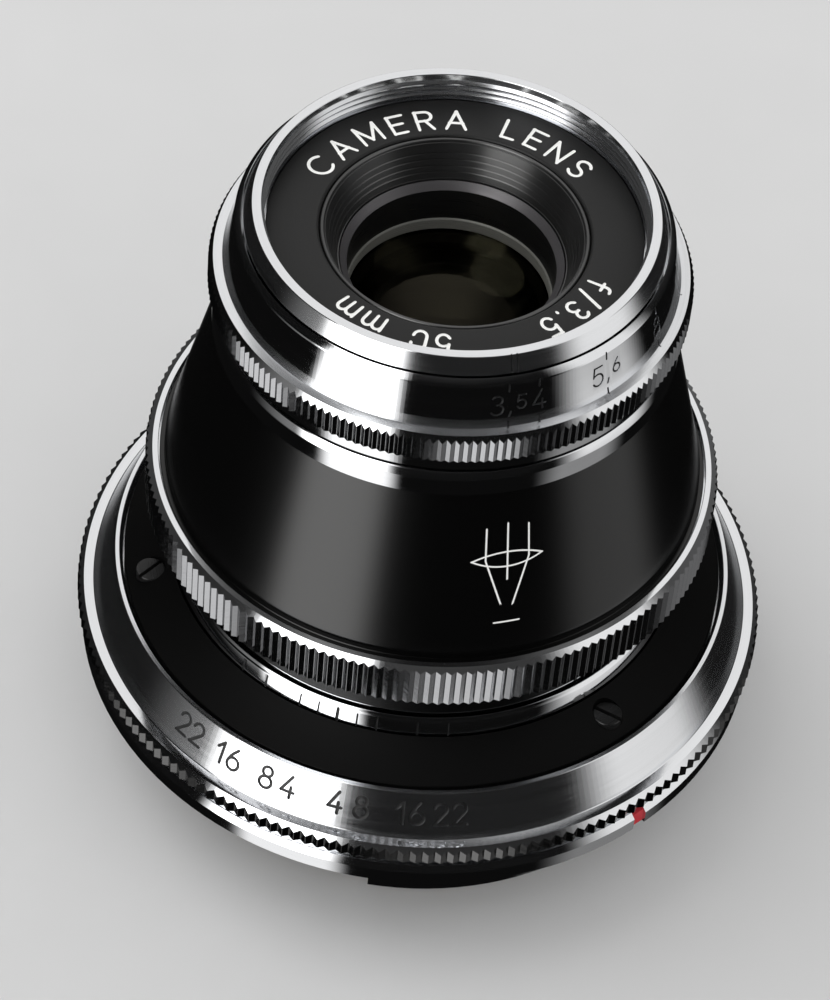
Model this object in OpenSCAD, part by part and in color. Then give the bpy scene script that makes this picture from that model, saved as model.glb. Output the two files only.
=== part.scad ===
// Compact 50 mm f/3.5 rangefinder camera lens with a bayonet mount.
// Z is the optical axis and points at the subject. z = 0 is the rear seating
// face of the mount flange. The index marks face -Y, and an azimuth is an
// angle about Z counted from -Y towards +X. All sizes are in millimetres.

/* [Mount] */
// Outer diameter of the mount flange
flange_d = 51.2; // [50.9:0.1:51.4]
// Thickness of the mount flange
flange_t = 1.55; // [1.5:0.05:1.6]
// Diameter over the bayonet lugs
lug_d = 44; // [43.8:0.1:44.2]
// Diameter of the bayonet sleeve behind the flange
sleeve_d = 41.2; // [41:0.1:41.4]
// How far the bayonet sleeve stands behind the flange
sleeve_h = 5.9; // [5.8:0.1:6.2]
// Azimuth of the red mounting index
mount_index_az = 44.5; // [40:1:50]

/* [Base] */
// Diameter over the knurl of the base ring
base_knurl_d = 51.9; // [51.7:0.1:52.1]
// Diameter of the index ring that carries the depth of field marks
index_ring_d = 38; // [37.9:0.1:38.1]
// Height of the index ring's top above the seating face
index_top_z = 10.4; // [10.3:0.1:10.5]
// Azimuth of the focus index
focus_index_az = -15; // [-20:1:-10]

/* [Focusing] */
// Diameter over the knurl of the focus ring
focus_knurl_d = 42.1; // [42:0.1:42.3]
// Axial advance of the helicoid in one full turn
helicoid_lead = 10.6; // [10:0.1:10.7]
// Turn of the head from infinity to the near stop, in degrees
focus_sweep = 130; // [90:1:130]

/* [Head] */
// Diameter of the black cone at its foot
cone_foot_d = 40; // [39.9:0.1:40.1]
// Diameter of the black cone at its top
cone_top_d = 32.8; // [32.6:0.1:32.9]
// Diameter over the knurl of the aperture ring
aperture_knurl_d = 34; // [33.9:0.1:34.2]
// Diameter of the filter thread's wall
filter_d = 27; // [26.96:0.02:27.02]
// Height of the front rim above the seating face
front_z = 43.4; // [43.3:0.1:43.8]
// Azimuth of the aperture index on the filter ring
aperture_index_az = 19.6; // [15:0.1:25]

/* [Iris] */
// Radius of the opening at f/3.5
iris_open_r = 6.7; // [6.65:0.05:6.75]
// Radius of the opening at f/22
iris_closed_r = 1.07; // [1:0.05:2]
// Turn of the aperture ring from f/3.5 to f/22, in degrees
aperture_sweep = 107; // [100:1:107]

/* [Hidden] */

round_fn = 180;
tooth_count = 180;
eps = 0.02;          // overlap of cutting tools past a face
run_gap = 0.05;      // radial running clearance
end_gap = 0.1;       // axial running clearance

// Mount flange and its bayonet
flange_r = flange_d / 2;
flange_chamfer = 0.4;
bayonet_bore_r = 19.3;
sleeve_r = sleeve_d / 2;
lug_r = lug_d / 2;
lug_t = 1.5;
lug_sweep = 44;
lug_first_az = 18;
notch_w = 1.1;
notch_depth = 0.9;
lock_slot_w = 2.6;
lock_slot_az = 104;
mount_screw_r = 23.4;
mount_screw_az = 20;
mount_screw_head_r = 1.15;
mount_screw_head_t = 0.5;
mount_screw_shank_r = 0.7;
mount_screw_tip_z = 4;

// Base ring and the parts that sit in it
base_knurl_r = base_knurl_d / 2;
base_tooth = 0.25;
base_knurl_z = [2.8, 3.82];
base_ledge = [25.5, 4.1];
base_bore_r = 21.5;
base_neck_r = 25;
base_neck_z = 2.6;
shelf_z = 5.5;
scale_foot = [24.72, 4.1];
scale_head = [23.15, 7.47];
scale_lip_r = 22.8;
plate_r = 22.45;
plate_rim_z = 7.4;
plate_hub_z = 8.93;
index_r = index_ring_d / 2;
index_wall = 0.5;
index_bore_r = index_r - index_wall;
index_foot_r = index_r + 0.5;
index_foot_z = 4.6;
index_band_z = [9.1, 10.03];
index_taper = 0.24;
plate_bore_r = index_r + 0.1;
cover_screw_r = 20.7;
cover_screw_az = 45;
cover_head_r = 1.08;
cover_head_z = [7.25, 8.25];
cover_shank_r = 0.8;
cover_screw_tip_z = 2.5;
cover_screw_turn = 28;
tick_z = [8.85, 10.15];
tick_depth = 0.26;
tick_w = 0.22;
degrees_per_stop_number = 1.12;   // depth of field mark angle for each unit of f-number
depth_marks = [4, 8, 16, 22];

// Helicoid pair, cam sleeve and its guide
helicoid_r = 16.36;
helicoid_outer_r = 17.2;
helicoid_outer_z = [-1, 12.5];
helicoid_bore_r = 13.95;
sleeve_pocket_r = 15.2;
sleeve_pocket_z = [-0.9, 3.4];
helicoid_flange_r = 17.4;
helicoid_flange_z = [13.8, 16.2];
helicoid_neck_r = 15.25;
cone_web_z = [18.4, 20];
cam_bore_r = 13.2;
cam_tube_r = 14.4;
cam_rib_r = sleeve_pocket_r - 0.08;
cam_rib_z = [1.9, sleeve_pocket_z[1] - end_gap];
cam_bell_r = [15.4, 17.1];
cam_rear_z = -7.5;
cam_bell_z = -5.3;
sleeve_ring_foot_z = 0.6;
key_w = 2.9;
key_slot_w = key_w + 2 * run_gap;
key_z = [-2.8, -1.5];
focus_travel = helicoid_lead * focus_sweep / 360;
key_slot_z = [key_z[0] - focus_travel - 0.27, key_z[1] + 0.3];
key_leg_w = 6;
key_leg_r = [17.4, 18.95];
key_az = 150;
key_screw_r = 18.2;
key_screw_half_pitch = 1.8;
key_screw_head_r = 0.68;
key_screw_head_t = 0.8;
key_screw_shank_r = 0.5;
key_screw_tip_z = 4;
stop_pin_r = 0.35;
stop_pin_path_r = 14.7;
stop_pin_az = -60;
stop_groove_top_z = 4.6;

// Focus ring
focus_knurl_r = focus_knurl_d / 2;
focus_tooth = 0.2;
focus_knurl_z = [15.05, 18.43];
focus_top_z = 18.65;
focus_web_z = [16.2, 17.6];
skirt_r = [17.5, 18.3];
skirt_foot_z = 5.8;
focus_screw_r = 16.3;
focus_screw_head_r = 0.8;
focus_screw_head_t = 0.6;
focus_screw_shank_r = 0.45;
focus_screw_tip_z = 14;

// Cone, collar and head barrel
cone_foot_r = cone_foot_d / 2;
cone_top_r = cone_top_d / 2;
cone_z = [19.24, 32.3];
cone_step = 0.38;
cone_wall = 1.05;
cone_bore_r = 15.35;
collar_r = 16.6;
collar_top_z = 34.4;
collar_spigot_z = 30.9;
barrel_r = 13.9;
barrel_nose_r = 13.6;
barrel_front_bore_r = 9.5;
barrel_bore_r = 13.15;
barrel_z = [16, 39.7];
chamber_top_z = 31.1;
cell_seat_z = 38.4;
click_az = 140;
click_path_r = 15.6;
click_ball_r = 0.5;
click_hole_r = 0.55;
click_ball_z = 34.15;
click_floor_z = 33;
click_groove_r = [15, 16.05];

// Filter ring, name ring and front cell
filter_r = filter_d / 2;
rim_r = 14.2;
rim_foot = [14.74, 42.22];
filter_body_r = 14.5;
filter_foot_z = 38.45;
filter_shelf_z = 40.5;
aperture_index_w = 0.15;
aperture_index_gap = 1.6;
name_ring_r = 13.15;
name_ring_z = 41.3;
filter_shelf_bore_r = 12.2;
cell_r = 9.4;
cell_flange_r = 11.9;
cell_flange_t = 1.2;
cell_rear_z = 28.1;
cell_mouth_z = 41.2;
front_glass_r = 7.9;
middle_glass_r = 6.85;
middle_shelf_z = [29.9, 30.2];
funnel_foot = [8, 38.5];
retainer_lip_r = 7.1;
retainer_wall_r = 7.3;
retainer_lip_z = [34.3, 35.2];
retainer_bevel = [7.4, 38];

// Aperture ring and its link to the iris
aperture_knurl_r = aperture_knurl_d / 2;
aperture_tooth = 0.16;
aperture_knurl_z = [36.15, 37.9];
aperture_ledge = [[16.66, 38.36], [16.02, 38.42]];
aperture_foot_z = 34.55;
aperture_step_z = 38.2;
aperture_neck_z = 35.6;
aperture_crown_r = 14.85;
crown_z = 42.2;
band_top = [15.3, 41.75];
band_foot = [15.8, 39.05];
link_az = 200;
link_w = 3;
link_r = [14.05, 14.75];
link_z = [29.2, 37];
link_pin_r = 0.6;
link_pin_z = 30;

// Optical surfaces, each with its vertex height and its radius
front_face = [35.5, 20];
front_cement = [32, 30];
front_rear_face = [30.85, 60];
middle_front_face = [29.55, 60];
middle_rear_face = [28.85, 60];
middle_lens_rear_z = 28.5;
rear_front_face = [25.4, 60];
rear_cement = [24.6, 22];
rear_face = [20.5, 26];

// Iris
blade_count = 10;
blade_pitch_z = 0.12;
blade_t = 0.09;
blade_first_z = 26.8;
pivot_path_r = 10.3;
pivot_pin_r = 0.28;
pivot_boss_r = 0.75;
blade_outer_r = 9.5;
blade_span = [-6, 105];
arm_len = 4.4;
arm_rest_angle = -107;
arm_half_w = 0.45;
drive_pin_r = 0.18;
slot_w = 0.42;
blade_swing = 2 * asin((iris_open_r - iris_closed_r) / (2 * pivot_path_r));
iris_plate_z = [25.9, 26.75];
iris_plate_bore_r = 8.35;
cam_disc_z = [28.1, 28.9];
cam_rim_r = 12.75;
cam_rim_top_z = 31;
iris_ring_bore_r = 11.2;
iris_ring_foot_z = 24.9;

// Rear cell
rear_glass_r = 7.25;
rear_cell_z = [18.5, 26.5];
rear_cell_r = 9.2;
rear_flange_z = [23.4, 24.85];
rear_nose_r = 8.2;
rear_lip_r = 6.6;
rear_lip_z = 25.9;
rear_retainer_bore_r = 6.5;
rear_retainer_z = [19.9, 21.25];
baffle_z = [17, 18.4];

// Colours
chrome = [0.82, 0.83, 0.85];
black = [0.06, 0.06, 0.065];
dark_grey = [0.22, 0.22, 0.23];
glass = [0.55, 0.62, 0.6, 0.6];
brass = [0.74, 0.62, 0.36];
red = [0.75, 0.08, 0.12];

// ---- Shared shapes ----

module turned(profile) {
    rotate_extrude($fn = round_fn) polygon(profile);
}

module tube(r_in, r_out, z) {
    turned([[r_in, z[0]], [r_out, z[0]], [r_out, z[1]], [r_in, z[1]]]);
}

module post(r, z) {
    translate([0, 0, z[0]]) cylinder(r = r, h = z[1] - z[0], $fn = 48);
}

// Turns a child drawn along +X to an azimuth
module at_azimuth(a) {
    rotate([0, 0, a - 90]) children();
}

// A straight-sided block that runs radially, centred on +X
module radial_block(r, w, z) {
    translate([r[0], -w / 2, z[0]]) cube([r[1] - r[0], w, z[1] - z[0]]);
}

// A ring sector between two azimuths
module arc_block(r, a, z) {
    at_azimuth(a[0])
        rotate_extrude(angle = a[1] - a[0], $fn = round_fn)
            translate([r[0], z[0]]) square([r[1] - r[0], z[1] - z[0]]);
}

// Zigzag outline of a straight knurl
function knurl_outline(tip_r, depth) = [
    for (i = [0 : 2 * tooth_count - 1])
        let (a = i * 180 / tooth_count, r = tip_r - (i % 2) * depth)
            [r * cos(a), r * sin(a)]
];

module knurl(tip_r, depth, r_in, z) {
    translate([0, 0, z[0]])
        linear_extrude(height = z[1] - z[0])
            difference() {
                polygon(knurl_outline(tip_r, depth));
                circle(r = r_in, $fn = round_fn);
            }
}

// Cheese-head screw with a straight slot, head up
module slotted_screw(head_r, head_z, shank_r, tip_z) {
    slot_depth = 0.45 * (head_z[1] - head_z[0]);
    difference() {
        union() {
            post(head_r, head_z);
            post(shank_r, [tip_z, head_z[0]]);
        }
        translate([-head_r, -0.14 * head_r, head_z[1] - slot_depth])
            cube([2 * head_r, 0.28 * head_r, slot_depth + eps]);
    }
}

// ---- Mount flange ----

module mount_screw_places() {
    for (i = [0 : 3])
        at_azimuth(mount_screw_az + i * 90) translate([mount_screw_r, 0, 0]) children();
}

module mount_flange() {
    color(chrome) difference() {
        union() {
            turned([
                [bayonet_bore_r, -sleeve_h], [sleeve_r - 0.2, -sleeve_h],
                [sleeve_r, -sleeve_h + 0.2], [sleeve_r, 0], [flange_r, 0],
                [flange_r, flange_t - flange_chamfer], [flange_r - flange_chamfer, flange_t],
                [bayonet_bore_r, flange_t]
            ]);
            for (i = [0 : 2])
                arc_block(
                    [sleeve_r - 0.3, lug_r],
                    [lug_first_az + i * 120 - lug_sweep / 2, lug_first_az + i * 120 + lug_sweep / 2],
                    [-sleeve_h + 0.2, -sleeve_h + 0.2 + lug_t]
                );
        }
        at_azimuth(mount_index_az)
            radial_block([flange_r - notch_depth, flange_r + 1], notch_w, [-eps, flange_t + eps]);
        at_azimuth(lock_slot_az)
            radial_block([sleeve_r + 0.9, flange_r - 1.2], lock_slot_w, [-eps, 1]);
        mount_screw_places() {
            post(mount_screw_head_r, [-eps, mount_screw_head_t]);
            post(mount_screw_shank_r, [0, flange_t + eps]);
        }
    }
}

module mount_screws() {
    color(dark_grey) mount_screw_places()
        mirror([0, 0, 1])
            slotted_screw(
                mount_screw_head_r, [-mount_screw_head_t, 0], mount_screw_shank_r, -mount_screw_tip_z
            );
}

module mount_index_paint() {
    color(red) at_azimuth(mount_index_az)
        radial_block([flange_r - notch_depth, flange_r - 0.25], notch_w, [0, flange_t - 0.2]);
}

// ---- Base ring with the depth of field scale ----

module base_ring() {
    root_r = base_knurl_r - base_tooth;
    color(chrome) difference() {
        union() {
            turned([
                [base_bore_r, flange_t], [base_neck_r, flange_t], [base_neck_r, base_neck_z],
                [root_r - 0.1, base_knurl_z[0]], [root_r - 0.1, base_knurl_z[1]],
                base_ledge, scale_foot, scale_head, [scale_lip_r, scale_head[1]],
                [scale_lip_r, scale_head[1] - 0.4], [plate_r + 0.1, scale_head[1] - 0.65],
                [plate_r + 0.1, shelf_z], [base_bore_r, shelf_z]
            ]);
            knurl(base_knurl_r, base_tooth, base_neck_r - 0.5, base_knurl_z);
        }
        mount_screw_places() post(mount_screw_shank_r, [0, mount_screw_tip_z]);
    }
}

// ---- Fixed half of the helicoid ----

module cover_screw_places() {
    for (i = [0 : 2])
        at_azimuth(cover_screw_az + i * 120) translate([cover_screw_r, 0, 0]) children();
}

module key_screw_places() {
    at_azimuth(key_az)
        for (side = [-1, 1]) translate([key_screw_r, side * key_screw_half_pitch, 0]) children();
}

module helicoid_outer() {
    thread_r = helicoid_r + 0.04;
    color(brass) difference() {
        turned([
            [thread_r, helicoid_outer_z[0]], [helicoid_outer_r, helicoid_outer_z[0]],
            [helicoid_outer_r, flange_t], [base_bore_r - 0.05, flange_t],
            [base_bore_r - 0.05, shelf_z], [index_foot_r + 0.05, shelf_z],
            [index_foot_r + 0.05, index_foot_z], [helicoid_outer_r, index_foot_z],
            [helicoid_outer_r, helicoid_outer_z[1]], [thread_r, helicoid_outer_z[1]]
        ]);
        cover_screw_places() post(cover_shank_r, [cover_screw_tip_z, shelf_z + eps]);
        key_screw_places() post(key_screw_shank_r, [flange_t - eps, key_screw_tip_z]);
    }
}

module index_mark(f_number, side) {
    at_azimuth(focus_index_az + side * f_number * degrees_per_stop_number)
        radial_block([index_r - tick_depth, index_r + 1], tick_w, tick_z);
}

module index_ring() {
    color(chrome) difference() {
        turned([
            [index_bore_r, index_foot_z], [index_foot_r, index_foot_z],
            [index_foot_r, shelf_z], [index_r, shelf_z], [index_r, index_band_z[0]],
            [index_r - index_taper, index_band_z[1]], [index_bore_r + 0.12, index_top_z - 0.22],
            [index_bore_r, index_top_z]
        ]);
        for (f = depth_marks) {
            index_mark(f, -1);
            index_mark(f, 1);
        }
        at_azimuth(focus_index_az)
            radial_block([index_r - tick_depth, index_r + 1], 2 * tick_w, tick_z);
    }
}

module cover_plate() {
    color(black) difference() {
        turned([
            [plate_bore_r, shelf_z], [plate_r, shelf_z], [plate_r, plate_rim_z - 0.15],
            [plate_r - 0.2, plate_rim_z], [plate_bore_r + 0.1, plate_hub_z],
            [plate_bore_r, plate_hub_z - 0.1]
        ]);
        cover_screw_places() {
            post(cover_head_r + 0.05, [cover_head_z[0], plate_hub_z + 1]);
            post(cover_shank_r + 0.05, [shelf_z - eps, cover_head_z[0] + eps]);
        }
    }
}

module cover_screws() {
    color(dark_grey) cover_screw_places()
        rotate([0, 0, cover_screw_turn])
            slotted_screw(cover_head_r, cover_head_z, cover_shank_r, cover_screw_tip_z);
}

// ---- Straight guide of the cam sleeve ----

module guide_key() {
    color(brass) difference() {
        at_azimuth(key_az) union() {
            radial_block(key_leg_r, key_leg_w, [key_z[0], flange_t]);
            radial_block([cam_tube_r - 0.5, key_leg_r[0] + 0.1], key_w, key_z);
        }
        key_screw_places() {
            post(key_screw_shank_r, [key_z[0], flange_t + eps]);
            post(key_screw_head_r, [key_z[0] - eps, key_z[0] + key_screw_head_t]);
        }
    }
}

module guide_key_screws() {
    color(dark_grey) key_screw_places()
        mirror([0, 0, 1])
            slotted_screw(
                key_screw_head_r, [-key_z[0] - key_screw_head_t, -key_z[0]],
                key_screw_shank_r, -key_screw_tip_z
            );
}

module cam_sleeve() {
    color(brass) difference() {
        turned([
            [cam_bore_r, cam_rib_z[1]], [cam_bore_r, cam_rear_z + 1], [cam_bell_r[0], cam_rear_z + 0.6],
            [cam_bell_r[0], cam_rear_z], [cam_bell_r[1], cam_rear_z], [cam_bell_r[1], cam_bell_z],
            [cam_tube_r, cam_bell_z + 0.3], [cam_tube_r, cam_rib_z[0]], [cam_rib_r, cam_rib_z[0]],
            [cam_rib_r, cam_rib_z[1]]
        ]);
        at_azimuth(key_az)
            radial_block([cam_bore_r - 1, cam_bell_r[1] + 1], key_slot_w, key_slot_z);
        at_azimuth(stop_pin_az)
            translate([stop_pin_path_r, 0, 0]) post(stop_pin_r, [cam_rib_z[0] - eps, cam_rib_z[1] + eps]);
    }
}

module focus_stop_pin() {
    color(dark_grey) at_azimuth(stop_pin_az)
        translate([stop_pin_path_r, 0, 0]) post(stop_pin_r, [cam_rib_z[0], stop_groove_top_z - 0.1]);
}

// ---- Rotating half of the helicoid ----

module focus_screw_places() {
    for (i = [0 : 2]) at_azimuth(90 + i * 120) translate([focus_screw_r, 0, 0]) children();
}

module helicoid_inner() {
    groove_margin = asin((stop_pin_r + run_gap) / stop_pin_path_r);
    color(brass) difference() {
        turned([
            [sleeve_pocket_r, sleeve_pocket_z[0]], [helicoid_r, sleeve_pocket_z[0]],
            [helicoid_r, helicoid_flange_z[0]], [helicoid_flange_r, helicoid_flange_z[0]],
            [helicoid_flange_r, helicoid_flange_z[1]], [helicoid_neck_r, helicoid_flange_z[1]],
            [helicoid_neck_r, cone_web_z[0]], [helicoid_bore_r, cone_web_z[0]],
            [helicoid_bore_r, sleeve_pocket_z[1]], [sleeve_pocket_r, sleeve_pocket_z[1]]
        ]);
        arc_block(
            [stop_pin_path_r - stop_pin_r - run_gap, stop_pin_path_r + stop_pin_r + run_gap],
            [stop_pin_az - focus_sweep - groove_margin, stop_pin_az + groove_margin],
            [sleeve_pocket_z[1] - eps, stop_groove_top_z]
        );
        focus_screw_places() post(focus_screw_shank_r, [focus_screw_tip_z, helicoid_flange_z[1] + eps]);
    }
}

module sleeve_retaining_ring() {
    color(brass)
        tube(cam_tube_r + 0.1, sleeve_pocket_r - 0.02, [sleeve_ring_foot_z, cam_rib_z[0] - end_gap]);
}

module focus_ring() {
    root_r = focus_knurl_r - focus_tooth;
    web_bore_r = helicoid_neck_r + 0.05;
    color(chrome) difference() {
        union() {
            turned([
                [web_bore_r, focus_web_z[0]], [skirt_r[0], focus_web_z[0]], [skirt_r[0], skirt_foot_z],
                [skirt_r[1], skirt_foot_z], [skirt_r[1], focus_knurl_z[0] - 0.6],
                [root_r - 0.3, focus_knurl_z[0] - 0.2], [root_r - 0.1, focus_knurl_z[0]],
                [root_r - 0.1, focus_knurl_z[1]], [root_r - 0.3, focus_top_z],
                [cone_foot_r + 0.1, focus_top_z],
                [cone_foot_r + 0.1, focus_web_z[1]], [web_bore_r, focus_web_z[1]]
            ]);
            knurl(focus_knurl_r, focus_tooth, cone_foot_r + 0.1, focus_knurl_z);
        }
        focus_screw_places() {
            post(focus_screw_head_r, [focus_web_z[1] - focus_screw_head_t, focus_web_z[1] + eps]);
            post(focus_screw_shank_r, [focus_web_z[0] - eps, focus_web_z[1]]);
        }
    }
}

module focus_ring_screws() {
    color(dark_grey) focus_screw_places()
        slotted_screw(
            focus_screw_head_r, [focus_web_z[1] - focus_screw_head_t, focus_web_z[1]],
            focus_screw_shank_r, focus_screw_tip_z
        );
}

// ---- Black cone and chrome collar ----

module barrel_cone() {
    slope = (cone_foot_r - cone_step - cone_top_r) / (cone_z[1] - cone_z[0]);
    inner_top_z = collar_spigot_z - 0.1;
    inner_foot_z = cone_web_z[1] + 0.4;
    color(black) turned([
        [cone_foot_r - 1.8, focus_web_z[1]], [cone_foot_r, focus_web_z[1]],
        [cone_foot_r, focus_top_z - 0.2], [cone_foot_r - cone_step, focus_top_z - 0.2],
        [cone_foot_r - cone_step, cone_z[0]],
        [cone_top_r, cone_z[1]], [cone_bore_r, cone_z[1]], [cone_bore_r, inner_top_z],
        [cone_top_r + slope * (cone_z[1] - inner_top_z) - cone_wall, inner_top_z],
        [cone_top_r + slope * (cone_z[1] - inner_foot_z) - cone_wall, inner_foot_z],
        [cone_foot_r - 2, cone_web_z[1]], [helicoid_bore_r, cone_web_z[1]],
        [helicoid_bore_r, cone_web_z[0]], [cone_foot_r - 1.8, cone_web_z[0]]
    ]);
}

module upper_collar() {
    spigot_r = [14.95, cone_bore_r - 0.05];
    color(chrome) difference() {
        turned([
            [spigot_r[0], collar_spigot_z], [spigot_r[1], collar_spigot_z], [spigot_r[1], cone_z[1]],
            [collar_r, cone_z[1]], [collar_r, collar_top_z - 0.6], [collar_r - 0.1, collar_top_z - 0.05],
            [collar_r - 0.3, collar_top_z], [spigot_r[0], collar_top_z]
        ]);
        at_azimuth(click_az)
            translate([click_path_r, 0, 0]) post(click_hole_r, [click_floor_z, collar_top_z + 1]);
    }
}

module click_spring() {
    color(dark_grey) at_azimuth(click_az)
        translate([click_path_r, 0, 0])
            post(click_ball_r - 0.05, [click_floor_z, click_ball_z - click_ball_r]);
}

module click_ball() {
    color(chrome) at_azimuth(click_az)
        translate([click_path_r, 0, click_ball_z]) sphere(r = click_ball_r, $fn = 48);
}

// ---- Head barrel ----

module head_barrel() {
    slot_margin = asin((link_pin_r + run_gap) / barrel_bore_r);
    color(dark_grey) difference() {
        turned([
            [barrel_bore_r, barrel_z[0]], [barrel_r, barrel_z[0]], [barrel_r, cone_web_z[1]],
            [barrel_r + 1, cone_web_z[1]], [barrel_r + 1, cone_web_z[1] + 1],
            [barrel_r, cone_web_z[1] + 1], [barrel_r, aperture_step_z + 0.1],
            [barrel_nose_r, aperture_step_z + 0.1], [barrel_nose_r, barrel_z[1]],
            [cell_flange_r + 0.1, barrel_z[1]], [cell_flange_r + 0.1, cell_seat_z],
            [barrel_front_bore_r, cell_seat_z], [barrel_front_bore_r, chamber_top_z],
            [barrel_bore_r, chamber_top_z]
        ]);
        arc_block(
            [barrel_bore_r - 0.1, barrel_r + 0.1],
            [link_az - aperture_sweep - slot_margin, link_az + slot_margin],
            [link_pin_z - link_pin_r - run_gap, link_pin_z + link_pin_r + run_gap]
        );
    }
}

// ---- Front of the head ----

module filter_ring() {
    color(chrome) difference() {
        turned([
            [name_ring_r + 0.05, filter_shelf_z], [name_ring_r + 0.05, name_ring_z],
            [filter_r, name_ring_z], [filter_r, front_z - 0.1], [filter_r + 0.1, front_z],
            [rim_r - 0.05, front_z], [rim_r, front_z - 0.05],
            rim_foot, [rim_foot[0], rim_foot[1] - 0.15], [filter_body_r, rim_foot[1] - 0.3],
            [filter_body_r, filter_foot_z], [barrel_nose_r + 0.05, filter_foot_z],
            [barrel_nose_r + 0.05, barrel_z[1]], [filter_shelf_bore_r, barrel_z[1]],
            [filter_shelf_bore_r, filter_shelf_z]
        ]);
        for (side = [-0.5, 0.5])
            at_azimuth(aperture_index_az + side * aperture_index_gap)
                radial_block([rim_r + 0.05, rim_r + 1], aperture_index_w, [rim_foot[1] + 0.1, front_z - 0.3]);
    }
}

module name_ring() {
    color(black) turned([
        [cell_r + 0.05, filter_shelf_z], [name_ring_r, filter_shelf_z],
        [name_ring_r, name_ring_z - 0.15], [name_ring_r - 0.15, name_ring_z],
        [cell_r + 0.15, name_ring_z - 0.1], [cell_r + 0.05, name_ring_z - 0.2]
    ]);
}

module front_cell() {
    glass_bore_r = front_glass_r + 0.05;
    middle_bore_r = middle_glass_r + 0.05;
    color(black) turned([
        [middle_bore_r, cell_rear_z], [cell_r, cell_rear_z], [cell_r, cell_seat_z],
        [cell_flange_r, cell_seat_z], [cell_flange_r, cell_seat_z + cell_flange_t],
        [cell_r, cell_seat_z + cell_flange_t], [cell_r, cell_mouth_z - 0.1],
        [cell_r - 0.1, cell_mouth_z], [cell_r - 0.3, cell_mouth_z], [cell_r - 0.4, cell_mouth_z - 0.15],
        funnel_foot, [glass_bore_r, funnel_foot[1]], [glass_bore_r, middle_shelf_z[1]],
        [middle_glass_r - 0.4, middle_shelf_z[1]], [middle_glass_r - 0.4, middle_shelf_z[0]],
        [middle_bore_r, middle_shelf_z[0]]
    ]);
}

module front_retainer() {
    color(dark_grey) turned([
        [retainer_lip_r, retainer_lip_z[0]], [front_glass_r, retainer_lip_z[0]],
        [front_glass_r, funnel_foot[1] - 0.05], retainer_bevel, [retainer_wall_r, retainer_bevel[1] - 0.1],
        [retainer_wall_r, retainer_lip_z[1] + 0.1], [retainer_lip_r, retainer_lip_z[1]]
    ]);
}

module middle_retainer() {
    color(dark_grey) tube(middle_glass_r - 0.55, middle_glass_r, [cell_rear_z, middle_lens_rear_z]);
}

// Inside of a spherical face that bulges towards +Z, given as [vertex height, radius]
module dome_up(face) {
    translate([0, 0, face[0] - face[1]]) sphere(r = face[1], $fn = round_fn);
}

// Inside of a spherical face that bulges towards -Z, given as [vertex height, radius]
module dome_down(face) {
    translate([0, 0, face[0] + face[1]]) sphere(r = face[1], $fn = round_fn);
}

module disc(r, z) {
    translate([0, 0, z[0]]) cylinder(r = r, h = z[1] - z[0], $fn = round_fn);
}

module front_lens_outer() {
    color(glass) intersection() {
        disc(front_glass_r, [front_cement[0] - 1, front_face[0] + 0.5]);
        dome_up(front_face);
        dome_down(front_cement);
    }
}

module front_lens_inner() {
    color(glass) difference() {
        disc(front_glass_r, [middle_shelf_z[1] + 0.05, front_cement[0] + 1.05]);
        dome_down(front_cement);
        dome_up(front_rear_face);
    }
}

module middle_lens() {
    color(glass) difference() {
        disc(middle_glass_r, [middle_lens_rear_z, middle_shelf_z[0]]);
        dome_down(middle_front_face);
        dome_up(middle_rear_face);
    }
}

module rear_lens_inner() {
    color(glass) difference() {
        disc(rear_glass_r, [rear_cement[0] - 1.2, rear_lip_z - 0.05]);
        dome_down(rear_front_face);
        dome_up(rear_cement);
    }
}

module rear_lens_outer() {
    color(glass) intersection() {
        disc(rear_glass_r, [rear_face[0] - 0.5, rear_cement[0] + 0.4]);
        dome_up(rear_cement);
        dome_down(rear_face);
    }
}

// ---- Rear of the head ----

module rear_cell() {
    bore_r = rear_glass_r + 0.05;
    color(black) turned([
        [bore_r + 0.3, rear_cell_z[0]], [rear_cell_r, rear_cell_z[0]], [rear_cell_r, rear_flange_z[0]],
        [barrel_bore_r - 0.05, rear_flange_z[0]], [barrel_bore_r - 0.05, rear_flange_z[1]],
        [rear_nose_r, rear_flange_z[1]], [rear_nose_r, rear_cell_z[1]], [rear_lip_r, rear_cell_z[1]],
        [rear_lip_r, rear_lip_z], [bore_r, rear_lip_z], [bore_r, rear_retainer_z[0] - 0.3]
    ]);
}

module rear_retainer() {
    color(dark_grey) tube(rear_retainer_bore_r, rear_glass_r, rear_retainer_z);
}

module rear_baffle() {
    color(black) turned([
        [rear_cell_r + 0.05, baffle_z[1] - 0.7], [barrel_bore_r - 0.05, baffle_z[0]],
        [barrel_bore_r - 0.05, baffle_z[1]], [rear_cell_r + 0.05, baffle_z[1]]
    ]);
}

// ---- Aperture ring and its link ----

module aperture_ring() {
    root_r = aperture_knurl_r - aperture_tooth;
    bore_r = barrel_r + run_gap;
    color(chrome) difference() {
        union() {
            turned([
                [bore_r, aperture_foot_z], [collar_r - 0.3, aperture_foot_z],
                [collar_r - 0.3, aperture_neck_z], [root_r - 0.1, aperture_knurl_z[0] - 0.1],
                [root_r - 0.1, aperture_knurl_z[1]], aperture_ledge[0], aperture_ledge[1],
                band_foot, band_top,
                [aperture_crown_r + 0.1, crown_z], [aperture_crown_r, crown_z - 0.1],
                [aperture_crown_r, aperture_step_z], [bore_r, aperture_step_z]
            ]);
            knurl(aperture_knurl_r, aperture_tooth, aperture_crown_r, aperture_knurl_z);
        }
        tube(click_groove_r[0], click_groove_r[1], [aperture_foot_z - eps, aperture_foot_z + 0.4]);
        at_azimuth(link_az)
            radial_block([link_r[0] - 0.5, link_r[1]], link_w, [aperture_foot_z - eps, link_z[1]]);
    }
}

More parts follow.
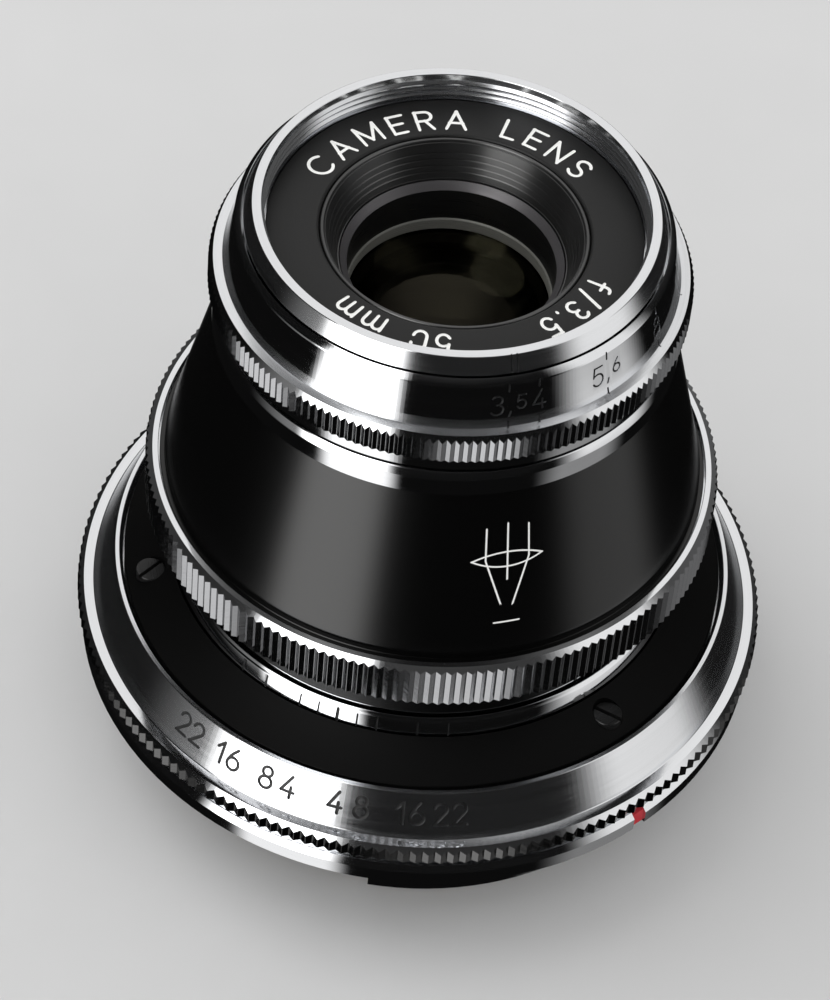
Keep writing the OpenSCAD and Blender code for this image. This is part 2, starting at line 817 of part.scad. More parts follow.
module aperture_link() {
    color(brass) difference() {
        at_azimuth(link_az) radial_block(link_r, link_w, link_z);
        at_azimuth(link_az) translate([link_r[0] - 1, 0, link_pin_z])
            rotate([0, 90, 0]) cylinder(r = link_pin_r, h = 3, $fn = 48);
    }
}

module link_pin() {
    color(dark_grey) at_azimuth(link_az) translate([cam_rim_r, 0, link_pin_z])
        rotate([0, 90, 0]) cylinder(r = link_pin_r, h = link_r[1] - cam_rim_r, $fn = 48);
}

// ---- Iris ----

// Place of a blade's drive pin in the frame of the cam ring, for a share f of the full turn
function pin_in_cam(f) =
    let (a = arm_rest_angle + blade_swing * f,
         x = pivot_path_r + arm_len * cos(a),
         y = arm_len * sin(a),
         t = aperture_sweep * f)
    [x * cos(t) - y * sin(t), x * sin(t) + y * cos(t)];

// Point beside the slot's centre line, at a signed distance from it
function slot_edge(f, side) =
    let (d = pin_in_cam(f + 0.005) - pin_in_cam(f - 0.005), n = [-d[1], d[0]] / norm(d))
    pin_in_cam(f) + n * side;

module cam_slot() {
    steps = 16;
    polygon(concat(
        [for (i = [0 : steps]) slot_edge(i / steps, slot_w / 2)],
        [for (i = [steps : -1 : 0]) slot_edge(i / steps, -slot_w / 2)]
    ));
    for (f = [0, 1]) translate(pin_in_cam(f)) circle(r = slot_w / 2, $fn = 24);
}

module iris_cam_ring() {
    outer_r = barrel_bore_r - run_gap;
    color(dark_grey) difference() {
        turned([
            [cell_r + 0.08, cam_disc_z[0]], [outer_r, cam_disc_z[0]], [outer_r, cam_rim_top_z],
            [cam_rim_r, cam_rim_top_z], [cam_rim_r, cam_disc_z[1]], [cell_r + 0.08, cam_disc_z[1]]
        ]);
        for (i = [0 : blade_count - 1])
            rotate([0, 0, i * 360 / blade_count])
                translate([0, 0, cam_disc_z[0] - eps])
                    linear_extrude(height = cam_disc_z[1] - cam_disc_z[0] + 2 * eps) cam_slot();
        at_azimuth(link_az) translate([cam_rim_r - 0.5, 0, link_pin_z])
            rotate([0, 90, 0]) cylinder(r = link_pin_r, h = 1, $fn = 48);
    }
}

module iris_base_plate() {
    color(dark_grey) difference() {
        tube(iris_plate_bore_r, barrel_bore_r - 0.05, iris_plate_z);
        for (i = [0 : blade_count - 1])
            rotate([0, 0, i * 360 / blade_count])
                translate([pivot_path_r, 0, 0])
                    post(pivot_pin_r + run_gap, [iris_plate_z[0] - eps, iris_plate_z[1] + eps]);
    }
}

module iris_retaining_ring() {
    color(dark_grey) tube(iris_ring_bore_r, barrel_bore_r - 0.05, [iris_ring_foot_z, iris_plate_z[0]]);
}

// Wedge from the axis that bounds the crescent of a blade
module blade_wedge() {
    reach = 2 * blade_outer_r;
    middle = (blade_span[0] + blade_span[1]) / 2;
    polygon(concat(
        [[0, 0]],
        [for (a = [blade_span[0], middle, blade_span[1]]) reach * [cos(a), sin(a)]]
    ));
}

module blade_outline() {
    neck_r = blade_outer_r - 0.5;
    difference() {
        intersection() {
            circle(r = blade_outer_r, $fn = round_fn);
            blade_wedge();
        }
        circle(r = iris_open_r, $fn = round_fn);
    }
    translate([neck_r, -pivot_boss_r]) square([pivot_path_r - neck_r, 2 * pivot_boss_r]);
    translate([pivot_path_r, 0]) {
        circle(r = pivot_boss_r, $fn = 32);
        rotate([0, 0, arm_rest_angle]) {
            translate([0, -arm_half_w]) square([arm_len, 2 * arm_half_w]);
            translate([arm_len, 0]) circle(r = arm_half_w, $fn = 32);
        }
    }
}

module iris_blade(i) {
    z = blade_first_z + i * blade_pitch_z;
    color(dark_grey) rotate([0, 0, i * 360 / blade_count]) {
        translate([0, 0, z]) linear_extrude(height = blade_t) blade_outline();
        translate([pivot_path_r, 0, 0]) {
            post(pivot_pin_r, [iris_plate_z[0] + 0.1, z + blade_t / 2]);
            rotate([0, 0, arm_rest_angle]) translate([arm_len, 0, 0])
                post(drive_pin_r, [z + blade_t / 2, cam_disc_z[1] - 0.05]);
        }
    }
}

// ---- Nodes ----

mount_flange();
mount_screws();
mount_index_paint();
base_ring();
helicoid_outer();
index_ring();
cover_plate();
cover_screws();
guide_key();
guide_key_screws();
cam_sleeve();
focus_stop_pin();
helicoid_inner();
sleeve_retaining_ring();
focus_ring();
focus_ring_screws();
barrel_cone();
upper_collar();
click_spring();
click_ball();
head_barrel();
filter_ring();
name_ring();
front_cell();
front_retainer();
middle_retainer();
front_lens_outer();
front_lens_inner();
middle_lens();
rear_lens_inner();
rear_lens_outer();
rear_cell();
rear_retainer();
rear_baffle();
iris_base_plate();
iris_retaining_ring();
aperture_ring();
aperture_link();
link_pin();
iris_cam_ring();
iris_blade(0);  // iris_blade_01
iris_blade(1);  // iris_blade_02
iris_blade(2);  // iris_blade_03
iris_blade(3);  // iris_blade_04
iris_blade(4);  // iris_blade_05
iris_blade(5);  // iris_blade_06
iris_blade(6);  // iris_blade_07
iris_blade(7);  // iris_blade_08
iris_blade(8);  // iris_blade_09
iris_blade(9);  // iris_blade_10
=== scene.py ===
import math

import bmesh
import bpy
import numpy as np
from mathutils import Matrix, Vector


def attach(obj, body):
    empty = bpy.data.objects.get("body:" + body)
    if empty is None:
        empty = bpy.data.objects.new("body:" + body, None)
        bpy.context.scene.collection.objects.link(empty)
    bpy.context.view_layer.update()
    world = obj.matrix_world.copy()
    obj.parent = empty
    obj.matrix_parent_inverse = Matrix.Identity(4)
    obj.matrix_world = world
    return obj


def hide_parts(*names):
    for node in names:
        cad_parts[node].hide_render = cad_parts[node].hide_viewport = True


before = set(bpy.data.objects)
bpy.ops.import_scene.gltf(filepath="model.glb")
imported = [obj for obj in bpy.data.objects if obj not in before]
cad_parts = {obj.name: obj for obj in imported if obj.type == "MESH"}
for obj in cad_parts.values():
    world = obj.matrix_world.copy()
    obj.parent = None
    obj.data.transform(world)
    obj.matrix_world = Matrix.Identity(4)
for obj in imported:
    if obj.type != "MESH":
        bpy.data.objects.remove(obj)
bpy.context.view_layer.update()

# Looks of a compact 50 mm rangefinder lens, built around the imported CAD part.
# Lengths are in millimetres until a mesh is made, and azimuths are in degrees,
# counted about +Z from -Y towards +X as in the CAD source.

MM = 0.001
TEETH = 180
PLAIN_STEPS = 360
LENS_STEPS = 180
SCREW_STEPS = 48
SINK_STEPS = 40
SHARP_ANGLE = math.radians(14)
ROOT_STEP = 0.06  # how far a knurl's groove stands out from the wall under it

# Radii and heights shared by several pieces
BASE_KNURL_R = 25.94
FOCUS_KNURL_R = 21.04
APERTURE_KNURL_R = 16.99
PLATE_R = 22.45
INDEX_R = 19.0
NAME_RING_Z = 41.3
LETTER_FOOT_R, LETTER_HEAD_R = 10.15, 12.1
NAME_RING_LINES = (  # (text, azimuth, height of the letters, gap between them)
    ("CAMERA LENS", 188, 1.75, 0.55),
    ("f/3.5    50 mm", 14, 1.7, 0.42),
)
SCALE_HEAD = (23.15, 7.47)
DEPTH_DIGIT_FOOT = (24.21, 5.15)
DEPTH_DIGIT_TALL = 1.72
BAND_FOOT = (15.8, 39.05)
BAND_TOP = (15.3, 41.75)
STOP_DIGIT_FOOT = (15.73, 39.35)
STOP_DIGIT_TALL = 1.55
UPPER_TICK_FOOT = (15.4, 41.2)
LOWER_TICK_FOOT = (16.02, 38.42)
RIM_WALL = (14.74, 42.22), (14.18, 43.36)
CONE_FOOT = (19.6, 19.24)
CONE_TOP = (16.4, 32.3)
SKETCH_FOOT, SKETCH_HEAD, SKETCH_AZ = (19.43, 20.27), (17.0, 29.92), 19.4

# Scales
FOCUS_INDEX_AZ = -15.0
DEGREES_PER_STOP_NUMBER = 1.12
DEPTH_STOPS = (4, 8, 16, 22)
DEPTH_NUMBERS = (  # (digits, azimuth)
    ("22", -40.3), ("16", -31.5), ("8", -23.5), ("4", -19.3),
    ("4", -10.6), ("8", -6.0), ("16", 2.5), ("22", 9.5),
)
APERTURE_INDEX_AZ = 19.6
APERTURE_INDEX_HALF_GAP = 0.8
WIDEST_STOP_AZ = 17.7
DEGREES_PER_STOP = 20.6
APERTURE_STOPS = ((3.5, "3,5"), (4, "4"), (5.6, "5,6"), (8, "8"), (11, "11"), (16, "16"), (22, "22"))

# Engraving, as half widths and depths
DIGIT_DEPTH = 0.12
LETTER_DEPTH = 0.04
DEPTH_DIGIT_STROKE = 0.14
DEPTH_TICK_STROKE = 0.08
FOCUS_INDEX_STROKE = 0.15
APERTURE_STROKE = 0.085
APERTURE_DEPTH = 0.1
APERTURE_INDEX_STROKE = 0.075
APERTURE_INDEX_DEPTH = 0.08
SKETCH_STROKE = 0.09
SKETCH_DEPTH = 0.05
LETTER_STROKE = 0.15


# ---- Turned meshes ----

def plain_angles(steps=PLAIN_STEPS):
    """Evenly spaced angles, and a tooth depth of 0 at each."""
    return np.linspace(0, 2 * math.pi, steps, endpoint=False), np.zeros(steps)


def tooth_angles(tip_flat=0.03, root_flat=0.03):
    """Angles round a knurl, with 0 at each tooth's tip and 1 at its root.

    The flats are half widths in degrees.
    """
    pitch = 360 / TEETH
    angles, depth = [], []
    for tooth in range(TEETH):
        start = tooth * pitch
        root = start + pitch / 2
        angles += [start - tip_flat, start + tip_flat, root - root_flat, root + root_flat]
        depth += [0, 0, 1, 1]
    return np.radians(angles), np.array(depth, float)


def turn(name, profile, around=None):
    """Closed mesh turned about Z from (radius, height) points.

    A point on a knurl adds (tooth depth, rise), which say how far its radius drops and its height
    climbs from the tip of a tooth to its root.
    """
    angles, depth = around or plain_angles()
    points = np.array([tuple(p) + (0,) * (4 - len(p)) for p in profile], float)
    on_axis = points[:, 0] == 0
    count, verts, index = len(points), [], np.zeros((len(angles), len(points)), int)
    for j, (r, z, tooth, rise) in enumerate(points):
        if on_axis[j]:
            index[:, j] = len(verts)
            verts.append((0, 0, z))
            continue
        radii = r - tooth * depth
        heights = z + rise * depth
        index[:, j] = len(verts) + np.arange(len(angles))
        verts += zip(radii * np.cos(angles), radii * np.sin(angles), heights)
    faces = []
    for i in range(len(angles)):
        k = (i + 1) % len(angles)
        for j in range(count):
            n = (j + 1) % count
            if on_axis[j] and on_axis[n]:
                continue
            corners = [index[i, j], index[k, j], index[k, n], index[i, n]]
            faces.append(list(dict.fromkeys(int(c) for c in corners)))
    return mesh_object(name, verts, faces)


def mesh_object(name, verts, faces):
    """Object from points in millimetres, with its faces turned outwards and its corners kept sharp."""
    mesh = bpy.data.meshes.new(name)
    mesh.from_pydata([tuple(c * MM for c in v) for v in verts], [], faces)
    obj = bpy.data.objects.new(name, mesh)
    bpy.context.scene.collection.objects.link(obj)
    settle_normals(obj, outwards=True)
    return obj


def settle_normals(obj, outwards=False):
    """Shades faces smooth across flat edges only, and turns them outwards if asked."""
    bm = bmesh.new()
    bm.from_mesh(obj.data)
    if outwards:
        bmesh.ops.recalc_face_normals(bm, faces=bm.faces)
    for face in bm.faces:
        face.smooth = True
    for edge in bm.edges:
        edge.smooth = len(edge.link_faces) == 2 and edge.calc_face_angle(0) < SHARP_ANGLE
    bm.to_mesh(obj.data)
    bm.free()


def knurl_profile(tip_r, tooth, low, high, ledge):
    """Part of a profile that climbs a knurl, whose teeth end on the slope that leads to the ledge."""
    rise = tooth * (ledge[1] - high) / (tip_r - ledge[0])
    return [(tip_r - tooth - ROOT_STEP, low), (tip_r, low, tooth), (tip_r, high, tooth, rise), ledge]


def direction(azimuth):
    """Level unit vector at an azimuth."""
    a = math.radians(azimuth)
    return Vector((math.sin(a), -math.cos(a), 0))


def boolean(obj, cutters, operation="DIFFERENCE"):
    """Cuts or joins meshes, which bring their own materials, and clears them away."""
    group = bpy.data.collections.new("cutters")
    bpy.context.scene.collection.children.link(group)
    for cutter in cutters:
        bpy.context.scene.collection.objects.unlink(cutter)
        group.objects.link(cutter)
    modifier = obj.modifiers.new("cut", "BOOLEAN")
    modifier.operation = operation
    modifier.operand_type = "COLLECTION"
    modifier.collection = group
    modifier.solver = "EXACT"
    modifier.material_mode = "TRANSFER"
    bpy.context.view_layer.update()
    cut = bpy.data.meshes.new_from_object(obj.evaluated_get(bpy.context.evaluated_depsgraph_get()))
    obj.modifiers.clear()
    old, obj.data = obj.data, cut
    bpy.data.meshes.remove(old)
    for cutter in cutters:
        bpy.data.objects.remove(cutter)
    bpy.data.collections.remove(group)
    settle_normals(obj)


# ---- Engraving ----

def arc(cx, cy, rx, ry, start, stop, steps=9):
    """Points along an ellipse between two angles in degrees."""
    return [
        (cx + rx * math.cos(math.radians(t)), cy + ry * math.sin(math.radians(t)))
        for t in np.linspace(start, stop, steps + 1)
    ]


# Strokes of an upright engraver's alphabet, one unit tall, as glyph: (width, strokes).
# A stroke that ends where it starts is a loop.
GLYPHS = {
    "0": (0.56, [arc(0.28, 0.72, 0.28, 0.28, 0, 180) + arc(0.28, 0.28, 0.28, 0.28, 180, 360)]),
    "1": (0.34, [[(0.02, 0.7), (0.28, 1)], [(0.28, 1), (0.28, 0)]]),
    "2": (0.54, [arc(0.27, 0.73, 0.27, 0.27, 170, -35) + [(0, 0)], [(0, 0), (0.54, 0)]]),
    "3": (0.54, [arc(0.26, 0.76, 0.23, 0.24, 150, -90), arc(0.26, 0.27, 0.28, 0.27, 90, -150)]),
    "4": (0.56, [[(0.4, 1), (0, 0.27)], [(0, 0.27), (0.56, 0.27)], [(0.42, 0.5), (0.42, 0)]]),
    "5": (0.54, [[(0.5, 1), (0.08, 1)], [(0.08, 1), (0.03, 0.52)],
                 arc(0.26, 0.32, 0.28, 0.32, 125, -150, 14)]),
    "6": (0.56, [arc(0.28, 0.29, 0.28, 0.29, 0, 360, 18),
                 [(0.02, 0.38), (0.1, 0.6), (0.22, 0.8), (0.38, 1)]]),
    "8": (0.56, [arc(0.28, 0.77, 0.22, 0.23, 0, 360, 16), arc(0.28, 0.27, 0.28, 0.27, 0, 360, 18)]),
    ",": (0.1, [[(0.08, 0.1), (0.02, -0.12)]]),
    ".": (0.1, [[(0.05, 0.03), (0.05, 0.05)]]),
    "/": (0.4, [[(0, -0.08), (0.4, 1.08)]]),
    "A": (0.84, [[(0, 0), (0.42, 1)], [(0.42, 1), (0.84, 0)], [(0.15, 0.34), (0.69, 0.34)]]),
    "C": (0.82, [arc(0.48, 0.5, 0.48, 0.5, 48, 312, 18)]),
    "E": (0.58, [[(0, 0), (0, 1)], [(0, 1), (0.58, 1)], [(0, 0.52), (0.5, 0.52)], [(0, 0), (0.58, 0)]]),
    "L": (0.54, [[(0, 1), (0, 0)], [(0, 0), (0.54, 0)]]),
    "M": (0.96, [[(0, 0), (0.06, 1)], [(0.06, 1), (0.48, 0.12)], [(0.48, 0.12), (0.9, 1)],
                 [(0.9, 1), (0.96, 0)]]),
    "N": (0.7, [[(0, 0), (0, 1)], [(0, 1), (0.7, 0)], [(0.7, 0), (0.7, 1)]]),
    "R": (0.66, [[(0, 0), (0, 1)], [(0, 1)] + arc(0.36, 0.74, 0.26, 0.26, 90, -90) + [(0, 0.48)],
                 [(0.34, 0.48), (0.66, 0)]]),
    "S": (0.62, [arc(0.31, 0.75, 0.28, 0.25, 35, 270, 12)
                 + arc(0.31, 0.25, 0.31, 0.25, 90, -145, 12)[1:]]),
    "m": (0.88, [[(0, 0), (0, 0.68)], arc(0.22, 0.44, 0.22, 0.24, 180, 0) + [(0.44, 0)],
                 arc(0.66, 0.44, 0.22, 0.24, 180, 0) + [(0.88, 0)]]),
    "f": (0.4, [[(0.14, 0), (0.14, 0.76)] + arc(0.36, 0.78, 0.22, 0.22, 180, 90, 5),
                [(0, 0.62), (0.38, 0.62)]]),
    " ": (0.5, []),
}


DECIMAL_SIZE = 0.72  # height of a digit after a comma, as a share of the others
DECIMAL_LIFT = 0.22


def text_strokes(text, height, tracking=0.26, small_decimals=False):
    """Strokes of a line of text in millimetres, centred across 0 and standing on 0."""
    strokes, x, size, lift = [], 0, height, 0
    for letter in text:
        width, shapes = GLYPHS[letter]
        strokes += [[(x + px * size, lift + py * size) for px, py in shape] for shape in shapes]
        x += (width + tracking) * size
        if small_decimals and letter == ",":
            size, lift = DECIMAL_SIZE * height, DECIMAL_LIFT * height
    shift = (x - tracking * size) / 2
    return [[(px - shift, py) for px, py in stroke] for stroke in strokes]


def on_cone(low, high, azimuth, clockwise=False):
    """Lays (across, up) on the cone between two (radius, height) points.

    The function it returns gives a point on the cone and the outward normal there.
    """
    (r0, z0), (r1, z1) = low, high
    length = math.hypot(r1 - r0, z1 - z0)
    dr, dz = (r1 - r0) / length, (z1 - z0) / length
    sign = -1 if clockwise else 1
    middle_r = (r0 + r1) / 2

    def place(across, up):
        out = direction(azimuth + sign * math.degrees(across / middle_r))
        point = out * (r0 + dr * up) + Vector((0, 0, z0 + dz * up))
        return point, sign * (out * dz - Vector((0, 0, dr)))

    return place


ROUND_END = (35, 62, 82)  # angles, in degrees, of the corners that round a stroke's end
FLOOR_SHARE = 0.72  # width of a groove's floor as a share of its mouth
CUTTER_LIFT = 0.12  # how far a cutter stands out of the surface
SAME_POINT = 1e-6


def cut_stroke(stroke, place, half_width, depth, wall, floor):
    """Cutter for one engraved stroke with round ends and sloped walls."""
    closed = len(stroke) > 2 and math.dist(stroke[0], stroke[-1]) < SAME_POINT
    flat = [Vector(p) for p in (stroke[:-1] if closed else stroke)]
    stations = []
    for i, p in enumerate(flat):
        before = flat[i - 1] if i > 0 or closed else p
        after = flat[(i + 1) % len(flat)] if i < len(flat) - 1 or closed else p
        stations.append((p, (after - before).normalized(), 1.0))
    if not closed:
        for end, sense in ((0, -1), (-1, 1)):
            p, along, _ = stations[end]
            caps = [
                (p + along * sense * half_width * math.sin(t), along, math.cos(t))
                for t in (math.radians(angle) for angle in ROUND_END)
            ]
            stations = list(reversed(caps)) + stations if end == 0 else stations + caps
    verts = []
    section = ((-1, CUTTER_LIFT), (-FLOOR_SHARE, -depth), (FLOOR_SHARE, -depth), (1, CUTTER_LIFT))
    for p, along, share in stations:
        side = Vector((along.y, -along.x))
        for across, up in section:
            q = p + side * across * share * half_width
            point, normal = place(q.x, q.y)
            verts.append(point + normal * up)
    count, n = len(stations), len(section)
    faces, floors = [], []
    for i in range(count if closed else count - 1):
        k = (i + 1) % count
        for j in range(n):
            m = (j + 1) % n
            faces.append((i * n + j, k * n + j, k * n + m, i * n + m))
            floors.append(j == 1)
    if not closed:
        faces += [tuple(range(n)), tuple(range((count - 1) * n, count * n))]
        floors += [False, False]
    cutter = mesh_object("cutter", verts, faces)
    cutter.data.materials.append(wall)
    cutter.data.materials.append(floor)
    for polygon, is_floor in zip(cutter.data.polygons, floors):
        polygon.material_index = int(is_floor)
    return cutter


def upright_line(foot, head):
    return [[(0, foot), (0, head)]]


def engrave(obj, marks, half_width, depth, wall, floor):
    """Engraves (strokes, place) marks into a mesh."""
    cutters = [
        cut_stroke(stroke, place, half_width, depth, wall, floor)
        for strokes, place in marks for stroke in strokes
    ]
    boolean(obj, cutters)


# ---- Node materials ----

def add(tree, kind, inputs=None, **settings):
    """Adds a shader node, sets its properties and fills or links its inputs."""
    node = tree.nodes.new(kind)
    for key, value in settings.items():
        setattr(node, key, value)
    for key, value in (inputs or {}).items():
        if isinstance(value, bpy.types.NodeSocket):
            tree.links.new(value, node.inputs[key])
        else:
            node.inputs[key].default_value = value
    return node


def maths(tree, operation, a, b=0.0):
    return add(tree, "ShaderNodeMath", {0: a, 1: b}, operation=operation).outputs[0]


def times(tree, a, b):
    return maths(tree, "MULTIPLY", a, b)


def plus(tree, a, b):
    return maths(tree, "ADD", a, b)


def new_material(name):
    material = bpy.data.materials.new(name)
    material.use_nodes = True
    material.node_tree.nodes.clear()
    return material, material.node_tree


def finish_material(tree, shader):
    add(tree, "ShaderNodeOutputMaterial", {"Surface": shader})


def grey(value, alpha=1.0):
    return (value, value, value, alpha)


def object_position(tree):
    return add(tree, "ShaderNodeTexCoord").outputs["Object"]


def lathe_lines(tree, lines_per_mm, wander=1.5):
    """Noise that changes fast across a turned part's profile and slowly round its axis."""
    parts = add(tree, "ShaderNodeSeparateXYZ", {0: object_position(tree)}).outputs
    squares = plus(tree, times(tree, parts["X"], parts["X"]), times(tree, parts["Y"], parts["Y"]))
    radius = maths(tree, "SQRT", squares)
    across = times(tree, plus(tree, radius, parts["Z"]), lines_per_mm / MM)
    round_x = times(tree, maths(tree, "DIVIDE", parts["X"], radius), wander)
    round_y = times(tree, maths(tree, "DIVIDE", parts["Y"], radius), wander)
    vector = add(tree, "ShaderNodeCombineXYZ", {"X": across, "Y": round_x, "Z": round_y}).outputs[0]
    inputs = {"Vector": vector, "Scale": 1.0, "Detail": 3.0, "Roughness": 0.6}
    return add(tree, "ShaderNodeTexNoise", inputs).outputs["Fac"]


def grain(tree, scale, detail=3.0):
    inputs = {"Vector": object_position(tree), "Scale": scale, "Detail": detail, "Roughness": 0.65}
    return add(tree, "ShaderNodeTexNoise", inputs).outputs["Fac"]


def bump(tree, height, strength, distance=0.00004):
    inputs = {"Height": height, "Strength": strength, "Distance": distance}
    return add(tree, "ShaderNodeBump", inputs).outputs[0]


def spread(tree, fac, low, high):
    """Maps noise to a range, clear of its rarely met ends."""
    inputs = {"Value": fac, "From Min": 0.3, "From Max": 0.7, "To Min": low, "To Max": high}
    return add(tree, "ShaderNodeMapRange", inputs).outputs[0]


def across_the_lines(tree):
    """Tangent that runs up a turned part's profile, at right angles to its tool marks."""
    geometry = add(tree, "ShaderNodeNewGeometry").outputs
    parts = add(tree, "ShaderNodeSeparateXYZ", {0: geometry["Position"]}).outputs
    minus_y = times(tree, parts["Y"], -1.0)
    circle = add(tree, "ShaderNodeCombineXYZ", {"X": minus_y, "Y": parts["X"]}).outputs[0]
    return add(
        tree, "ShaderNodeVectorMath", {0: geometry["Normal"], 1: circle}, operation="CROSS_PRODUCT"
    ).outputs[0]


TOOL_MARK_SHADE = 0.93


def turned_metal(name, color, roughness, anisotropy, lines=3.0, relief=0.03, metallic=1.0, specular=0.5):
    """Metal or lacquer with tool marks round the axis."""
    material, tree = new_material(name)
    fac = lathe_lines(tree, lines)
    low, high = roughness
    darker = [c * TOOL_MARK_SHADE for c in color[:3]] + [1]
    inputs = {
        "Base Color": add(tree, "ShaderNodeMixRGB", {0: fac, 1: color, 2: darker}).outputs[0],
        "Metallic": metallic,
        "Roughness": spread(tree, fac, low, high),
        "Specular IOR Level": specular,
        "Anisotropic": anisotropy,
        "Tangent": across_the_lines(tree),
        "Normal": bump(tree, fac, relief),
    }
    finish_material(tree, add(tree, "ShaderNodeBsdfPrincipled", inputs).outputs[0])
    return material


def grained_paint(
        name, color, roughness, scale=9000.0, relief=0.1, metallic=0.0, specular=0.5, speckle=0.0):
    """Paint, anodising or enamel with a fine even grain."""
    material, tree = new_material(name)
    fac = grain(tree, scale)
    low, high = roughness
    lighter = [min(1.0, c + speckle) for c in color[:3]] + [1]
    share = spread(tree, fac, 0, 1)
    inputs = {
        "Base Color": add(tree, "ShaderNodeMixRGB", {0: share, 1: color, 2: lighter}).outputs[0],
        "Metallic": metallic,
        "Roughness": spread(tree, fac, low, high),
        "Specular IOR Level": specular,
        "Normal": bump(tree, fac, relief),
    }
    finish_material(tree, add(tree, "ShaderNodeBsdfPrincipled", inputs).outputs[0])
    return material


GLASS_IOR = 1.52
# A faint real tint of the glass, darkened far beyond it as painted shade for the dark inside of the lens.
GLASS_AND_SHADE_COLOUR = (0.52, 0.53, 0.49, 1)
COATING_TINT = (0.8, 0.72, 0.55, 1)
COATING_SHARE = 0.35  # how much of bare glass's reflection the coating leaves


def coated_glass(name):
    """Clear glass whose coating keeps reflections low and tints them, darkened by a strong colour that is
    painted shade for the dark inside of the lens.
    """
    material, tree = new_material(name)
    smear = spread(tree, grain(tree, 60.0, 2.0), 0.0, 0.03)
    clear_inputs = {"Color": GLASS_AND_SHADE_COLOUR, "Roughness": 0.0, "IOR": GLASS_IOR}
    clear = add(tree, "ShaderNodeBsdfRefraction", clear_inputs)
    shine = add(tree, "ShaderNodeBsdfGlossy", {"Color": COATING_TINT, "Roughness": smear})
    fresnel = add(tree, "ShaderNodeFresnel", {"IOR": GLASS_IOR}).outputs[0]
    share = times(tree, fresnel, COATING_SHARE)
    mixed = add(tree, "ShaderNodeMixShader", {0: share, 1: clear.outputs[0], 2: shine.outputs[0]})
    finish_material(tree, mixed.outputs[0])
    return material


CHROME = (0.83, 0.84, 0.86, 1)
chrome = turned_metal("polished_chrome", CHROME, (0.05, 0.1), 0.3, lines=2.0, relief=0.012)
satin_chrome = turned_metal("satin_chrome", CHROME, (0.14, 0.2), 0.45, lines=6.0, relief=0.04)
# Darker chrome on the teeth of the focus and aperture knurls is painted shade.
knurl_painted_shade = turned_metal(
    "knurl_painted_shade", (0.42, 0.425, 0.44, 1), (0.1, 0.18), 0.0,
    lines=5.0, relief=0.04,
)
# Much darker chrome on the base ring's teeth is painted shade.
base_knurl_painted_shade = turned_metal(
    "base_knurl_painted_shade", grey(0.14), (0.14, 0.24), 0.0,
    lines=5.0, relief=0.04,
)
thread_chrome = turned_metal(
    "thread_chrome", (0.7, 0.71, 0.73, 1), (0.12, 0.22), 0.2,
    lines=6.0, relief=0.05,
)
groove_chrome = turned_metal("groove_chrome", CHROME, (0.15, 0.25), 0.0, lines=8.0, relief=0.05)
cone_black = grained_paint("cone_black", grey(0.0015), (0.2, 0.25), scale=11000.0, relief=0.05)
plate_black = grained_paint(
    "plate_black", grey(0.001), (0.42, 0.52),
    scale=12000.0, relief=0.09, specular=0.12,
)
name_black = grained_paint("name_black", grey(0.008), (0.46, 0.56), scale=12000.0, relief=0.1)
funnel_black = turned_metal(
    "funnel_black", grey(0.12), (0.28, 0.36), 0.8,
    lines=7.0, relief=0.05, metallic=0.95,
)
bevel_grey = turned_metal(
    "bevel_grey", (0.12, 0.115, 0.12, 1), (0.35, 0.5), 0.3,
    lines=8.0, relief=0.05, metallic=0.6,
)
retainer_black = turned_metal(
    "retainer_black", grey(0.008), (0.25, 0.4), 0.3,
    lines=10.0, relief=0.08, metallic=0.2,
)
lip_grey = turned_metal(
    "lip_grey", (0.16, 0.16, 0.145, 1), (0.4, 0.55), 0.3,
    lines=10.0, relief=0.08, metallic=0.2,
)
internal_black = turned_metal(
    "internal_black", grey(0.018), (0.4, 0.55), 0.2,
    lines=6.0, relief=0.08, metallic=0.0,
)
blade_steel = grained_paint(
    "blade_steel", grey(0.05), (0.3, 0.4),
    scale=5000.0, relief=0.05, metallic=0.7,
)
screw_black = turned_metal(
    "screw_black", grey(0.03), (0.25, 0.35), 0.4,
    lines=9.0, relief=0.05, metallic=0.6,
)
brass = turned_metal("machined_brass", (0.78, 0.58, 0.27, 1), (0.18, 0.3), 0.5, lines=5.0, relief=0.06)
ball_steel = grained_paint(
    "ball_steel", grey(0.6), (0.08, 0.14),
    scale=3000.0, relief=0.02, metallic=1.0,
)
glass = coated_glass("coated_glass")
number_black = grained_paint("number_black", grey(0.006), (0.4, 0.5), scale=16000.0, relief=0.1)
letter_white = grained_paint(
    "letter_white", (0.9, 0.9, 0.88, 1), (0.5, 0.6),
    scale=14000.0, relief=0.06,
)
index_red = grained_paint(
    "index_red", (0.55, 0.008, 0.02, 1), (0.3, 0.4),
    scale=9000.0, relief=0.06, speckle=0.02,
)


def finish_piece(obj, body, material=None, stands_for=()):
    """Gives a piece its material and its body, and hides the CAD nodes it stands for."""
    if material is not None:
        if obj.data.materials:
            obj.data.materials[0] = material
        else:
            obj.data.materials.append(material)
    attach(obj, body)
    if stands_for:
        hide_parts(*stands_for)
    return obj


# ---- Base ----

